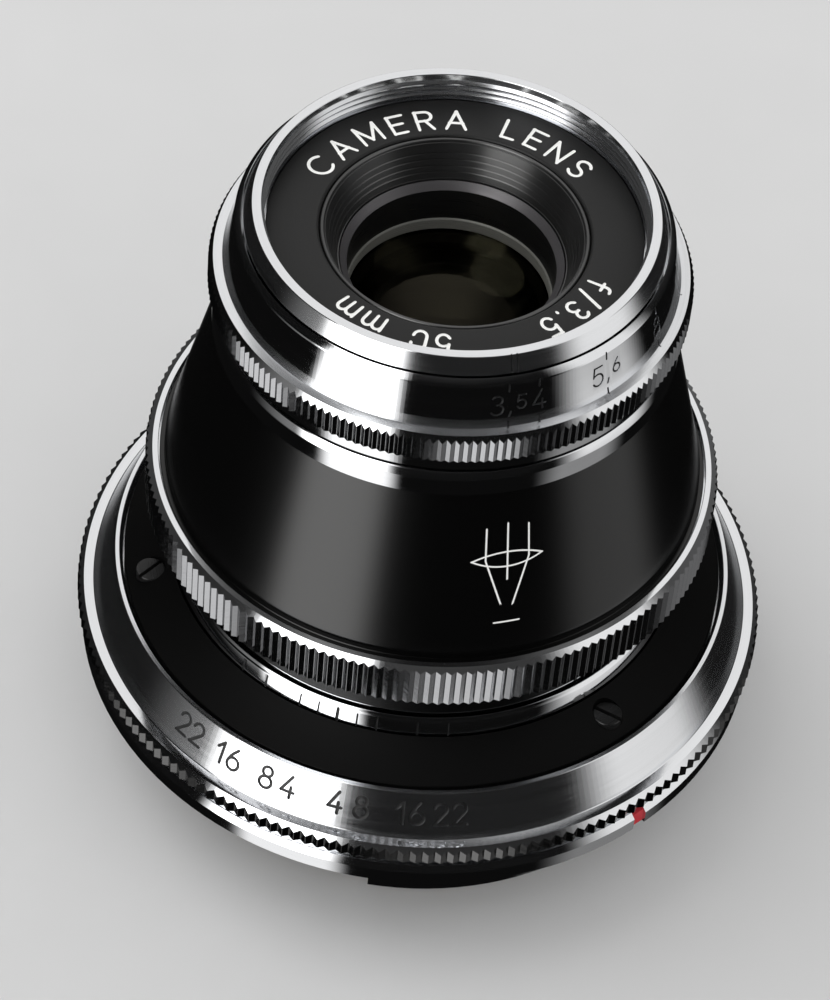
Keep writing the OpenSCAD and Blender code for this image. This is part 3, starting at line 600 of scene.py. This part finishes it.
def scale_ring():
    """Knurled base ring whose conical top carries the depth of field digits."""
    profile = [
        # Foot, polished edge and knurl
        (21.52, 1.56), (24.9, 1.56), (25.0, 1.66), (25.0, 2.6), (25.55, 2.78),
        *knurl_profile(BASE_KNURL_R, tooth=0.25, low=2.8, high=3.75, ledge=(25.46, 4.1)),
        # Cone with the digits, and its rim
        (24.76, 4.1), (24.7, 4.14), (23.17, 7.43), (23.12, 7.47), (22.84, 7.47), (22.8, 7.43),
        # Seat of the cover plate
        (22.8, 7.1), (22.56, 6.85), (22.56, 5.52), (21.52, 5.52),
    ]
    ring = turn("scale_ring", profile, tooth_angles())
    ring.data.materials.append(satin_chrome)
    marks = [
        (text_strokes(text, DEPTH_DIGIT_TALL), on_cone(DEPTH_DIGIT_FOOT, SCALE_HEAD, azimuth))
        for text, azimuth in DEPTH_NUMBERS
    ]
    engrave(ring, marks, DEPTH_DIGIT_STROKE, DIGIT_DEPTH, groove_chrome, number_black)
    # The base teeth get much darker chrome as painted shade; the ledge above them gets polished chrome.
    paint_faces(ring, base_teeth=zone(2.81, 3.84, low_r=25.6), polished_ledge=zone(high_z=4.13))
    return finish_piece(ring, "base", stands_for=["base_ring"])


def zone(low_z=-math.inf, high_z=math.inf, low_r=-math.inf, high_r=math.inf):
    """Rule that picks the faces whose centre lies between these heights and radii."""
    return lambda r, z: low_r < r < high_r and low_z < z < high_z


def paint_faces(obj, **finishes):
    """Gives a finish to the faces of the first material whose centre is in its zone. The darker chrome it
    puts on the knurls' teeth is painted shade.
    """
    materials = {
        "polished_ledge": chrome, "base_teeth": base_knurl_painted_shade, "tooth_band": knurl_painted_shade,
        "thread": thread_chrome, "satin_wall": satin_chrome, "bevel": bevel_grey, "lip": lip_grey,
    }
    for name, rule in finishes.items():
        obj.data.materials.append(materials[name])
        slot = len(obj.data.materials) - 1
        for polygon in obj.data.polygons:
            if polygon.material_index == 0:
                x, y, z = polygon.center / MM
                if rule(math.hypot(x, y), z):
                    polygon.material_index = slot


def index_ring():
    """Thin ring with the focus index and the depth of field ticks."""
    band = (INDEX_R, 9.1), (18.76, 10.03)
    profile = [
        (18.5, 4.62), (19.5, 4.62), (19.5, 5.5), (INDEX_R, 5.5), band[0], (18.765, 10.01), (18.74, 10.06),
        (18.64, 10.17), (18.55, 10.36), (18.51, 10.36),
    ]
    ring = turn("index_ring_scale", profile)
    ring.data.materials.append(chrome)
    tick = upright_line(-0.15, 0.88)
    offsets = [side * stop * DEGREES_PER_STOP_NUMBER for stop in DEPTH_STOPS for side in (-1, 1)]
    marks = [(tick, on_cone(*band, FOCUS_INDEX_AZ + offset)) for offset in offsets]
    engrave(ring, marks, DEPTH_TICK_STROKE, DIGIT_DEPTH, groove_chrome, number_black)
    index = [(tick, on_cone(*band, FOCUS_INDEX_AZ))]
    engrave(ring, index, FOCUS_INDEX_STROKE, DIGIT_DEPTH, groove_chrome, number_black)
    return finish_piece(ring, "base", stands_for=["index_ring"])


COVER_SCREW_R = 20.7
COVER_SINK_R = 1.13
COVER_SCREWS = ((45, -24), (165, 70), (285, 51))  # (azimuth, turn of the slot)


def cylinder(radius, low, high, centre):
    """Upright cylinder at a place on the cover plate."""
    obj = turn("cylinder", [(0, low), (radius, low), (radius, high), (0, high)], plain_angles(SINK_STEPS))
    obj.data.transform(Matrix.Translation(Vector((centre.x, centre.y, 0)) * MM))
    return obj


def cover_plate():
    """Black conical plate with three sinks for its screws."""
    profile = [
        (19.1, 5.52), (PLATE_R, 5.52), (PLATE_R, 7.3), (22.4, 7.36), (22.28, 7.4),
        (19.2, 8.9), (19.14, 8.93), (19.1, 8.88),
    ]
    plate = turn("cover_plate_black", profile)
    plate.data.materials.append(plate_black)
    sinks = [
        cylinder(COVER_SINK_R, low=7.24, high=9.5, centre=direction(azimuth) * COVER_SCREW_R)
        for azimuth, _ in COVER_SCREWS
    ]
    for sink in sinks:
        sink.data.materials.append(plate_black)
    boolean(plate, sinks)
    return finish_piece(plate, "base", stands_for=["cover_plate"])


def cover_screws():
    """Three black cheese-head screws with straight slots, joined in one piece."""
    profile = [
        (0, 2.5), (0.8, 2.5), (0.8, 7.26), (1.08, 7.26), (1.08, 8.18), (1.03, 8.23), (0.8, 8.25),
        (0, 8.25),
    ]
    screws = turn("cover_screw_heads", profile, plain_angles(SCREW_STEPS))
    slot = mesh_object("slot", *block(half_x=1.5, half_y=0.15, low=7.85, high=8.6))
    slot.data.materials.append(screw_black)
    screws.data.materials.append(screw_black)
    boolean(screws, [slot])
    one = screws.data.copy()
    merged = bmesh.new()
    for azimuth, turned in COVER_SCREWS:
        place = Matrix.Translation(direction(azimuth) * COVER_SCREW_R * MM)
        copy = one.copy()
        copy.transform(place @ Matrix.Rotation(math.radians(turned), 4, "Z"))
        merged.from_mesh(copy)
        bpy.data.meshes.remove(copy)
    merged.to_mesh(screws.data)
    merged.free()
    settle_normals(screws)
    return finish_piece(screws, "base", stands_for=["cover_screws"])


def block(half_x, half_y, low, high):
    """Corners and faces of an upright box round the axis."""
    corners = ((-half_x, -half_y), (half_x, -half_y), (half_x, half_y), (-half_x, half_y))
    verts = [(x, y, z) for z in (low, high) for x, y in corners]
    faces = [(3, 2, 1, 0), (4, 5, 6, 7)] + [(i, (i + 1) % 4, 4 + (i + 1) % 4, 4 + i) for i in range(4)]
    return verts, faces


# ---- Focus ring and cone ----

def focus_ring():
    """Knurled focus ring with its skirt inside the index ring."""
    profile = [
        # Web and skirt
        (15.3, 16.22), (17.5, 16.2), (17.5, 5.85), (17.55, 5.8), (18.25, 5.8), (18.3, 5.86), (18.3, 14.5),
        # Underside and knurl
        (18.36, 14.62), (20.6, 15.0),
        *knurl_profile(FOCUS_KNURL_R, tooth=0.2, low=15.05, high=18.35, ledge=(20.53, 18.65)),
        # Recess of the black cone
        (20.14, 18.65), (20.1, 18.61), (20.1, 17.6), (15.3, 17.6),
    ]
    ring = turn("focus_ring_knurled", profile, tooth_angles())
    ring.data.materials.append(chrome)
    # The teeth get darker chrome as painted shade.
    paint_faces(ring, tooth_band=zone(15.1, 18.5, low_r=20.8))
    return finish_piece(ring, "head", stands_for=["focus_ring"])


def optics_sketch():
    """A single convex lens that brings two rays to a focus, as white lines."""
    half, thick, ray, image = 2.6, 0.62, 1.6, 1.3
    lens_v, focus_v, ray_top, axis_top = 6.6, 1.2, 9.3, 9.6
    reach = (half * half + thick * thick) / (2 * thick)
    swing = math.degrees(math.asin(half / reach))
    upper = [
        (reach * math.sin(math.radians(t)), lens_v + thick - reach + reach * math.cos(math.radians(t)))
        for t in np.linspace(-swing, swing, 15)
    ]
    lower = [(x, 2 * lens_v - y) for x, y in upper]
    return [
        [(0, 0), (0, axis_top)], upper, lower,
        [(-ray, ray_top), (-ray, lens_v)], [(ray, ray_top), (ray, lens_v)],
        [(-ray, lens_v), (0, focus_v)], [(ray, lens_v), (0, focus_v)],
        [(-image, focus_v), (image, focus_v)],
    ]


def barrel_cone():
    """Black cone of the barrel, with the optics sketch."""
    profile = [
        # Foot in the focus ring's recess
        (18.2, 17.62), (19.95, 17.62), (20.0, 17.67), (20.0, 18.4), (19.95, 18.45), (19.66, 18.45),
        # Short upright foot, and the cone
        (19.62, 18.5), (19.62, 18.95), (19.62, 19.12),
        CONE_FOOT, (19.575, 19.34), (19.526, 19.54), CONE_TOP,
        # Seat of the collar, and the hollow inside
        (15.36, 32.3), (15.36, 30.82), (15.7, 30.82), (18.3, 20.4), (18.0, 20.0),
        (13.97, 20.0), (13.97, 18.4), (18.2, 18.4),
    ]
    cone = turn("barrel_cone_black", profile)
    cone.data.materials.append(cone_black)
    place = on_cone(SKETCH_FOOT, SKETCH_HEAD, SKETCH_AZ)
    engrave(cone, [(optics_sketch(), place)], SKETCH_STROKE, SKETCH_DEPTH, letter_white, letter_white)
    return finish_piece(cone, "head", stands_for=["barrel_cone"])


def upper_collar():
    """Plain chrome collar between the cone and the aperture ring."""
    profile = [
        (14.97, 30.92), (15.28, 30.92), (15.28, 32.31), (16.56, 32.31), (16.6, 32.35), (16.6, 33.8),
        (16.57, 33.9), (16.38, 34.33), (16.32, 34.39), (16.2, 34.4), (14.97, 34.4),
    ]
    collar = turn("upper_collar_chrome", profile)
    return finish_piece(collar, "head", chrome, ["upper_collar"])


# ---- Aperture ring ----

def stop_azimuth(stop):
    """Azimuth of a stop number, evenly spaced by whole stops of light."""
    return WIDEST_STOP_AZ + DEGREES_PER_STOP * 2 * math.log2(stop / APERTURE_STOPS[0][0])


def aperture_ring():
    """Knurled aperture ring with its stop numbers and their ticks."""
    profile = [
        # Neck and knurl
        (13.97, 34.56), (16.24, 34.56), (16.3, 34.62), (16.3, 35.6), (16.6, 36.05),
        *knurl_profile(APERTURE_KNURL_R, tooth=0.16, low=36.1, high=37.85, ledge=(16.66, 38.38)),
        # Ledge, band with the numbers, and its bevelled lip
        (16.02, 38.4), BAND_FOOT, (15.32, 41.66), (15.27, 41.76), (14.94, 42.12), (14.9, 42.15),
        # Bore
        (14.86, 42.12), (14.86, 38.2), (13.97, 38.2),
    ]
    ring = turn("aperture_ring_knurled", profile, tooth_angles())
    ring.data.materials.append(chrome)
    marks = []
    for stop, text in APERTURE_STOPS:
        azimuth = stop_azimuth(stop)
        digits = text_strokes(text, STOP_DIGIT_TALL, small_decimals=True)
        marks.append((digits, on_cone(STOP_DIGIT_FOOT, BAND_TOP, azimuth)))
        marks.append((upright_line(0, 0.5), on_cone(UPPER_TICK_FOOT, BAND_TOP, azimuth)))
        marks.append((upright_line(0, 0.36), on_cone(LOWER_TICK_FOOT, BAND_FOOT, azimuth)))
    engrave(ring, marks, APERTURE_STROKE, APERTURE_DEPTH, groove_chrome, number_black)
    # The teeth get darker chrome as painted shade, and the ledge a satin finish.
    paint_faces(
        ring,
        tooth_band=zone(36.15, 38.1, low_r=16.79),
        satin_wall=zone(38.3, 39.1, low_r=15.81, high_r=16.6),
    )
    return finish_piece(ring, "aperture", stands_for=["aperture_ring"])


# ---- Front ----

def thread_points(low, high, root_r, crest_r, pitch=0.5):
    """Zigzag of a fine internal thread from bottom to top."""
    points, z = [], low
    while z + pitch <= high:
        points += [(root_r, z + 0.06), (crest_r, z + 0.22), (crest_r, z + 0.28), (root_r, z + 0.44)]
        z += pitch
    return points


def filter_ring():
    """Front ring with the filter thread inside and the two aperture index lines outside."""
    profile = [
        # Seat on the barrel
        (12.22, 39.72), (13.66, 39.72), (13.66, 38.47), (14.44, 38.47), (14.5, 38.53), (14.5, 41.9),
        # Conical wall and front rim
        (14.74, 42.05), *RIM_WALL, (14.13, 43.4), (13.51, 43.4), (13.47, 43.36),
        # Thread and the name ring's seat
        *reversed(thread_points(low=41.42, high=43.3, root_r=13.47, crest_r=13.24)),
        (13.47, 41.32), (13.21, 41.3), (13.21, 40.52), (12.22, 40.52),
    ]
    ring = turn("filter_ring_threaded", profile)
    ring.data.materials.append(chrome)
    line = upright_line(0.1, 1.3)
    marks = [
        (line, on_cone(*RIM_WALL, APERTURE_INDEX_AZ + side * APERTURE_INDEX_HALF_GAP)) for side in (-1, 1)
    ]
    engrave(ring, marks, APERTURE_INDEX_STROKE, APERTURE_INDEX_DEPTH, groove_chrome, number_black)
    paint_faces(
        ring,
        thread=zone(low_z=41.3, high_r=13.49),
        satin_wall=zone(low_z=42.3, low_r=14.16, high_r=14.73),
    )
    return finish_piece(ring, "head", stands_for=["filter_ring"])


def name_ring():
    """Flat black ring with generic lettering that stands on its inner edge."""
    profile = [
        (9.46, 40.52), (13.14, 40.52), (13.14, 41.2), (13.1, 41.28),
        (13.0, NAME_RING_Z), (9.62, NAME_RING_Z), (9.52, 41.26), (9.46, 41.16),
    ]
    ring = turn("name_ring_black", profile)
    ring.data.materials.append(name_black)
    foot, head = (LETTER_FOOT_R, NAME_RING_Z), (LETTER_HEAD_R, NAME_RING_Z)
    marks = [
        (text_strokes(text, tall, tracking=tracking), on_cone(foot, head, azimuth, clockwise=True))
        for text, azimuth, tall, tracking in NAME_RING_LINES
    ]
    engrave(ring, marks, LETTER_STROKE, LETTER_DEPTH, letter_white, letter_white)
    return finish_piece(ring, "head", stands_for=["name_ring"])


def front_cell():
    """Cell of the front glass, with a black funnel that four fine grooves cross."""
    grooves = [
        point for r, z in ((8.72, 40.34), (8.54, 39.88), (8.36, 39.42), (8.2, 39.0))
        for point in ((r, z + 0.06), (r + 0.06, z), (r - 0.03, z - 0.06))
    ]
    profile = [
        # Outside and flange
        (6.9, 28.12), (9.38, 28.12), (9.38, 38.42), (11.88, 38.42), (11.88, 39.58), (9.38, 39.58),
        # Rounded rim and funnel
        (9.38, 41.08), (9.36, 41.15), (9.3, 41.19), (9.14, 41.19), (9.08, 41.14), (9.04, 41.02),
        (8.98, 41.0), *grooves,
        # Bore for the glass
        (8.02, 38.52), (7.95, 38.52), (7.95, 30.2), (6.47, 30.2), (6.47, 29.92), (6.9, 29.92),
    ]
    cell = turn("front_cell_funnel", profile)
    return finish_piece(cell, "head", funnel_black, ["front_cell"])


def front_retainer():
    """Black ring that holds the front glass, with a grey bevel and a ribbed lip."""
    rib_r, rib_depth, rib_top, rib_step = 7.16, 0.03, 35.15, 0.09
    ribs = [(rib_r + rib_depth * (i % 2), rib_top - rib_step * i) for i in range(9)]
    profile = [
        (7.88, 34.32), (7.88, 38.4), (7.84, 38.44), (7.42, 38.02), (7.34, 37.92), (7.32, 37.8),
        (7.32, 35.34), (7.3, 35.26), (7.2, 35.2), *ribs, (rib_r, 34.32),
    ]
    ring = turn("front_retainer_ring", profile)
    ring.data.materials.append(retainer_black)
    paint_faces(ring, bevel=zone(low_z=37.95), lip=zone(high_r=7.25))
    return finish_piece(ring, "head", stands_for=["front_retainer"])


def cap_points(vertex, radius, edge_r, sense, steps=14):
    """Points of a spherical face from the axis outwards. sense is 1 when the face bulges upwards."""
    rs = np.linspace(0, edge_r, steps)
    return [(r, vertex - sense * (radius - math.sqrt(radius * radius - r * r))) for r in rs]


def lens_element(name, edge_r, front, rear, stands_for):
    """A glass element from its front and rear faces, each (vertex height, radius, sense)."""
    rear_points = cap_points(*rear[:2], edge_r, rear[2])
    front_points = cap_points(*front[:2], edge_r, front[2])
    points = rear_points + list(reversed(front_points))
    lens = turn(name, points, plain_angles(LENS_STEPS))
    return finish_piece(lens, "head", glass, [stands_for])


def lenses():
    """Five elements in three groups. The gap keeps cemented faces apart."""
    gap = 0.01
    lens_element("front_element", 7.89, (35.5, 20, 1), (32 + gap, 30, -1), "front_lens_outer")
    lens_element("front_inner_element", 7.89, (32 - gap, 30, -1), (30.86, 60, 1), "front_lens_inner")
    lens_element("middle_element", 6.84, (29.54, 60, -1), (28.86, 60, 1), "middle_lens")
    lens_element("rear_inner_element", 7.24, (25.39, 60, -1), (24.6 + gap, 22, 1), "rear_lens_inner")
    lens_element("rear_element", 7.24, (24.6 - gap, 22, 1), (20.51, 26, -1), "rear_lens_outer")


# ---- CAD nodes that stay as they are ----

CARRIED_OVER = {
    "mount_flange": (chrome, "chrome"),
    "mount_screws": (screw_black, "screw_steel"),
    "mount_index_paint": (index_red, "red_paint"),
    "helicoid_outer": (brass, "brass"),
    "guide_key": (brass, "brass"),
    "guide_key_screws": (screw_black, "screw_steel"),
    "cam_sleeve": (brass, "brass"),
    "focus_stop_pin": (ball_steel, "screw_steel"),
    "helicoid_inner": (brass, "brass"),
    "sleeve_retaining_ring": (brass, "brass"),
    "focus_ring_screws": (screw_black, "screw_steel"),
    "click_spring": (ball_steel, "screw_steel"),
    "click_ball": (ball_steel, "chrome"),
    "head_barrel": (internal_black, "dark_internal"),
    "middle_retainer": (internal_black, "dark_internal"),
    "rear_cell": (internal_black, "dark_internal"),
    "rear_retainer": (internal_black, "dark_internal"),
    "rear_baffle": (internal_black, "dark_internal"),
    "iris_base_plate": (internal_black, "dark_internal"),
    "iris_retaining_ring": (internal_black, "dark_internal"),
    "iris_cam_ring": (internal_black, "dark_internal"),
    "aperture_link": (brass, "brass"),
    "link_pin": (ball_steel, "screw_steel"),
    **{f"iris_blade_{i:02d}": (blade_steel, "dark_internal") for i in range(1, 11)},
}


def dress_cad_nodes():
    """Gives the CAD nodes that show as they are their material."""
    for node, (material, slot) in CARRIED_OVER.items():
        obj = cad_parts[node]
        obj.data.materials.clear()
        obj.data.materials.append(material)


# ---- Stage, light and camera ----

FLOOR_Z = -7.52
FLOOR_HALF = 900.0
CAMERA_AT = (0.0, -196.1, 233.6)
CAMERA_YAW, CAMERA_PITCH, CAMERA_ROLL = -0.273, 48.38, 5.667
LENS_MM = 142.77
SENSOR_MM = 36.0


def floor():
    """Pale floor that reflections and views from below look through."""
    corners = [(x * FLOOR_HALF, y * FLOOR_HALF) for x, y in ((-1, -1), (1, -1), (1, 1), (-1, 1))]
    mesh = bpy.data.meshes.new("floor")
    mesh.from_pydata([(x * MM, y * MM, FLOOR_Z * MM) for x, y in corners], [], [(0, 1, 2, 3)])
    plane = bpy.data.objects.new("floor", mesh)
    bpy.context.scene.collection.objects.link(plane)
    material, tree = new_material("pale_floor")
    tone = spread(tree, grain(tree, 40.0), 0.6, 0.62)
    colour = add(tree, "ShaderNodeCombineColor", {"Red": tone, "Green": tone, "Blue": tone}).outputs[0]
    paint = add(tree, "ShaderNodeBsdfDiffuse", {"Color": colour}).outputs[0]
    nothing = add(tree, "ShaderNodeBsdfTransparent").outputs[0]
    below = add(tree, "ShaderNodeNewGeometry").outputs["Backfacing"]
    finish_material(tree, add(tree, "ShaderNodeMixShader", {0: below, 1: paint, 2: nothing}).outputs[0])
    mesh.materials.append(material)
    plane.visible_glossy = False


def ramp(tree, value, stops):
    """Piecewise linear curve over a 0 to 1 value."""
    node = add(tree, "ShaderNodeValToRGB", {"Fac": value})
    elements = node.color_ramp.elements
    while len(elements) < len(stops):
        elements.new(0.5)
    for element, (position, level) in zip(elements, stops):
        element.position = position
        element.color = grey(level)
    return node.outputs[0]


def elevations(*stops):
    """Ramp stops over the height of a direction, from (elevation in degrees, level) pairs."""
    return [((math.sin(math.radians(angle)) + 1) / 2, level) for angle, level in stops]


def sector(tree, azimuth, centre, half_width, softness):
    """1 inside a range of azimuth, falling to 0 at its soft edges."""
    off = maths(tree, "ABSOLUTE", maths(tree, "SUBTRACT", azimuth, centre))
    inputs = {
        "Value": off, "From Min": half_width - softness, "From Max": half_width + softness,
        "To Min": 1.0, "To Max": 0.0,
    }
    return add(tree, "ShaderNodeMapRange", inputs, interpolation_type="SMOOTHSTEP").outputs[0]


def soft_box(tree, sky, box, levels):
    """Upright soft box whose leaning top stands further round and is wider."""
    middle = plus(tree, box["azimuth"], times(tree, sky["lean"], box["lean_shift"]))
    width = plus(tree, 1.0, times(tree, sky["lean"], box["lean_widening"]))
    off = maths(tree, "DIVIDE", maths(tree, "SUBTRACT", sky["azimuth"], middle), width)
    inside = sector(tree, off, 0.0, box["half_width"], box["softness"])
    return times(tree, inside, ramp(tree, sky["height"], elevations(*levels)))


def sky_position(tree):
    """Azimuth in degrees, height from 0 at the bottom to 1 at the top, and parts of a ray's direction."""
    towards = add(tree, "ShaderNodeTexCoord").outputs["Generated"]
    parts = add(tree, "ShaderNodeSeparateXYZ", {0: towards}).outputs
    turn_rad = maths(tree, "ARCTAN2", parts["X"], times(tree, parts["Y"], -1.0))
    height = times(tree, plus(tree, parts["Z"], 1.0), 0.5)
    return {
        "parts": parts,
        "azimuth": times(tree, turn_rad, 180 / math.pi),
        "height": height,
        "lean": ramp(tree, height, elevations((42, 0.0), (63, 1.0))),
    }


EVEN_LIGHT = 0.95
BOX_TINT = (1.0, 0.995, 0.985, 1)

# The soft boxes' places are in degrees. Their levels are (elevation, brightness) pairs.
LEFT_BOX = {
    "azimuth": -37.0, "half_width": 18.5, "softness": 5.0, "lean_shift": -13.0, "lean_widening": 0.5,
}
LEFT_LEVELS = ((-70, 0.15), (-48, 0.4), (-30, 0.7), (-20, 1.0), (71, 1.0), (77, 0.0))
LEFT_STRENGTH = 3.2
RIGHT_BOX = {
    "azimuth": 80.0, "half_width": 19.5, "softness": 9.0, "lean_shift": 20.0, "lean_widening": 0.28,
}
RIGHT_LEVELS = ((-70, 0.1), (-48, 0.26), (-32, 0.5), (-10, 0.9), (62, 0.9), (72, 0.0))
SPILL_AZIMUTH, SPILL_HALF_WIDTH, SPILL_SOFTNESS = -56.0, 18.0, 14.0
SPILL_LEVELS = ((-22, 0.0), (-14, 0.2), (8, 0.2), (20, 0.0))
OVERHEAD_LEVELS = ((70, 1.0), (79, 0.03))
LOW_BACK_HALF_WIDTH, LOW_BACK_SOFTNESS = 12.0, 3.0
LOW_BACK_LEVELS = ((-66, 0.0), (-60, 0.3), (-30, 0.3), (-24, 0.0))
ROOM_LEVELS = ((-78, 0.2), (-66, 0.004), (40, 0.004), (60, 0.035))

# Light behind, as (place, brightness) across it from left to right and up it from the front
BEHIND_ACROSS = (
    (0.27, 0.05), (0.31, 0.25), (0.36, 0.65), (0.4, 1.0), (0.54, 1.0), (0.6, 0.6), (0.64, 0.3),
    (0.75, 0.1),
)
BEHIND_UP = (
    (0.38, 0.0), (0.44, 0.045), (0.49, 0.1), (0.53, 0.19), (0.55, 0.22), (0.58, 0.42), (0.61, 0.7),
    (0.64, 0.85), (0.67, 0.9),
)


def light_behind(tree, sky):
    """Broad light behind and above, which the ledges over the knurls show."""
    parts = sky["parts"]
    up = times(tree, plus(tree, parts["Y"], parts["Z"]), math.sqrt(0.5))
    overhead = ramp(tree, sky["height"], elevations(*OVERHEAD_LEVELS))
    across = times(tree, plus(tree, parts["X"], 1.0), 0.5)
    window = times(tree, overhead, ramp(tree, across, BEHIND_ACROSS))
    return times(tree, window, ramp(tree, up, BEHIND_UP))


def room_light(tree, sky):
    """Dim room, and a low strip behind that lights the underside's edge."""
    from_back = maths(tree, "SUBTRACT", 180.0, maths(tree, "ABSOLUTE", sky["azimuth"]))
    strip = times(
        tree,
        sector(tree, from_back, 0.0, LOW_BACK_HALF_WIDTH, LOW_BACK_SOFTNESS),
        ramp(tree, sky["height"], elevations(*LOW_BACK_LEVELS)),
    )
    return plus(tree, strip, ramp(tree, sky["height"], elevations(*ROOM_LEVELS)))


def studio_world():
    """Even pale light on everything, and soft boxes that only reflections show."""
    world = bpy.data.worlds.new("studio")
    bpy.context.scene.world = world
    world.use_nodes = True
    tree = world.node_tree
    tree.nodes.clear()
    sky = sky_position(tree)
    left = times(tree, soft_box(tree, sky, LEFT_BOX, LEFT_LEVELS), LEFT_STRENGTH)
    right = soft_box(tree, sky, RIGHT_BOX, RIGHT_LEVELS)
    spill = times(
        tree,
        sector(tree, sky["azimuth"], SPILL_AZIMUTH, SPILL_HALF_WIDTH, SPILL_SOFTNESS),
        ramp(tree, sky["height"], elevations(*SPILL_LEVELS)),
    )
    boxes = plus(tree, left, plus(tree, right, light_behind(tree, sky)))
    seen = plus(tree, boxes, plus(tree, room_light(tree, sky), spill))
    path = add(tree, "ShaderNodeLightPath").outputs
    even = add(tree, "ShaderNodeBackground", {"Color": grey(1.0), "Strength": EVEN_LIGHT}).outputs[0]
    shown = add(tree, "ShaderNodeBackground", {"Color": BOX_TINT, "Strength": seen}).outputs[0]
    mixed = add(tree, "ShaderNodeMixShader", {0: path["Is Glossy Ray"], 1: even, 2: shown}).outputs[0]
    add(tree, "ShaderNodeOutputWorld", {"Surface": mixed})


KEY_SIZE = 0.5  # metres, as is the place below
KEY_AT = (-0.35, 0.1, 0.6)
KEY_WATTS = 1.2


def soft_key():
    """Large lamp above the left, for a gentle shadow on the floor."""
    lamp = bpy.data.lights.new("soft_key", "AREA")
    lamp.shape = "DISK"
    lamp.size = KEY_SIZE
    lamp.energy = KEY_WATTS
    obj = bpy.data.objects.new("soft_key", lamp)
    obj.location = KEY_AT
    obj.rotation_euler = (-obj.location).to_track_quat("-Z", "Y").to_euler()
    obj.visible_glossy = False
    bpy.context.scene.collection.objects.link(obj)


def camera():
    """Camera at the photo's viewing angle, which is tipped a little to one side."""
    yaw, pitch, roll = (math.radians(a) for a in (CAMERA_YAW, CAMERA_PITCH, CAMERA_ROLL))
    forward = Vector((math.sin(yaw) * math.cos(pitch), math.cos(yaw) * math.cos(pitch), -math.sin(pitch)))
    level = Vector((math.cos(yaw), -math.sin(yaw), 0))
    up = level.cross(forward)
    x_axis = level * math.cos(roll) + up * math.sin(roll)
    y_axis = up * math.cos(roll) - level * math.sin(roll)
    data = bpy.data.cameras.new("camera")
    data.lens = LENS_MM
    data.sensor_width = SENSOR_MM
    data.clip_start, data.clip_end = 0.01, 10.0
    obj = bpy.data.objects.new("camera", data)
    axes = Matrix((x_axis, y_axis, -forward)).transposed().to_4x4()
    obj.matrix_world = Matrix.Translation(Vector(CAMERA_AT) * MM) @ axes
    bpy.context.scene.collection.objects.link(obj)
    bpy.context.scene.camera = obj


# ---- Assembly ----

scale_ring()
index_ring()
cover_plate()
cover_screws()
focus_ring()
barrel_cone()
upper_collar()
aperture_ring()
filter_ring()
name_ring()
front_cell()
front_retainer()
lenses()
dress_cad_nodes()
floor()
studio_world()
soft_key()
camera()
bpy.context.scene.view_settings.view_transform = "Standard"
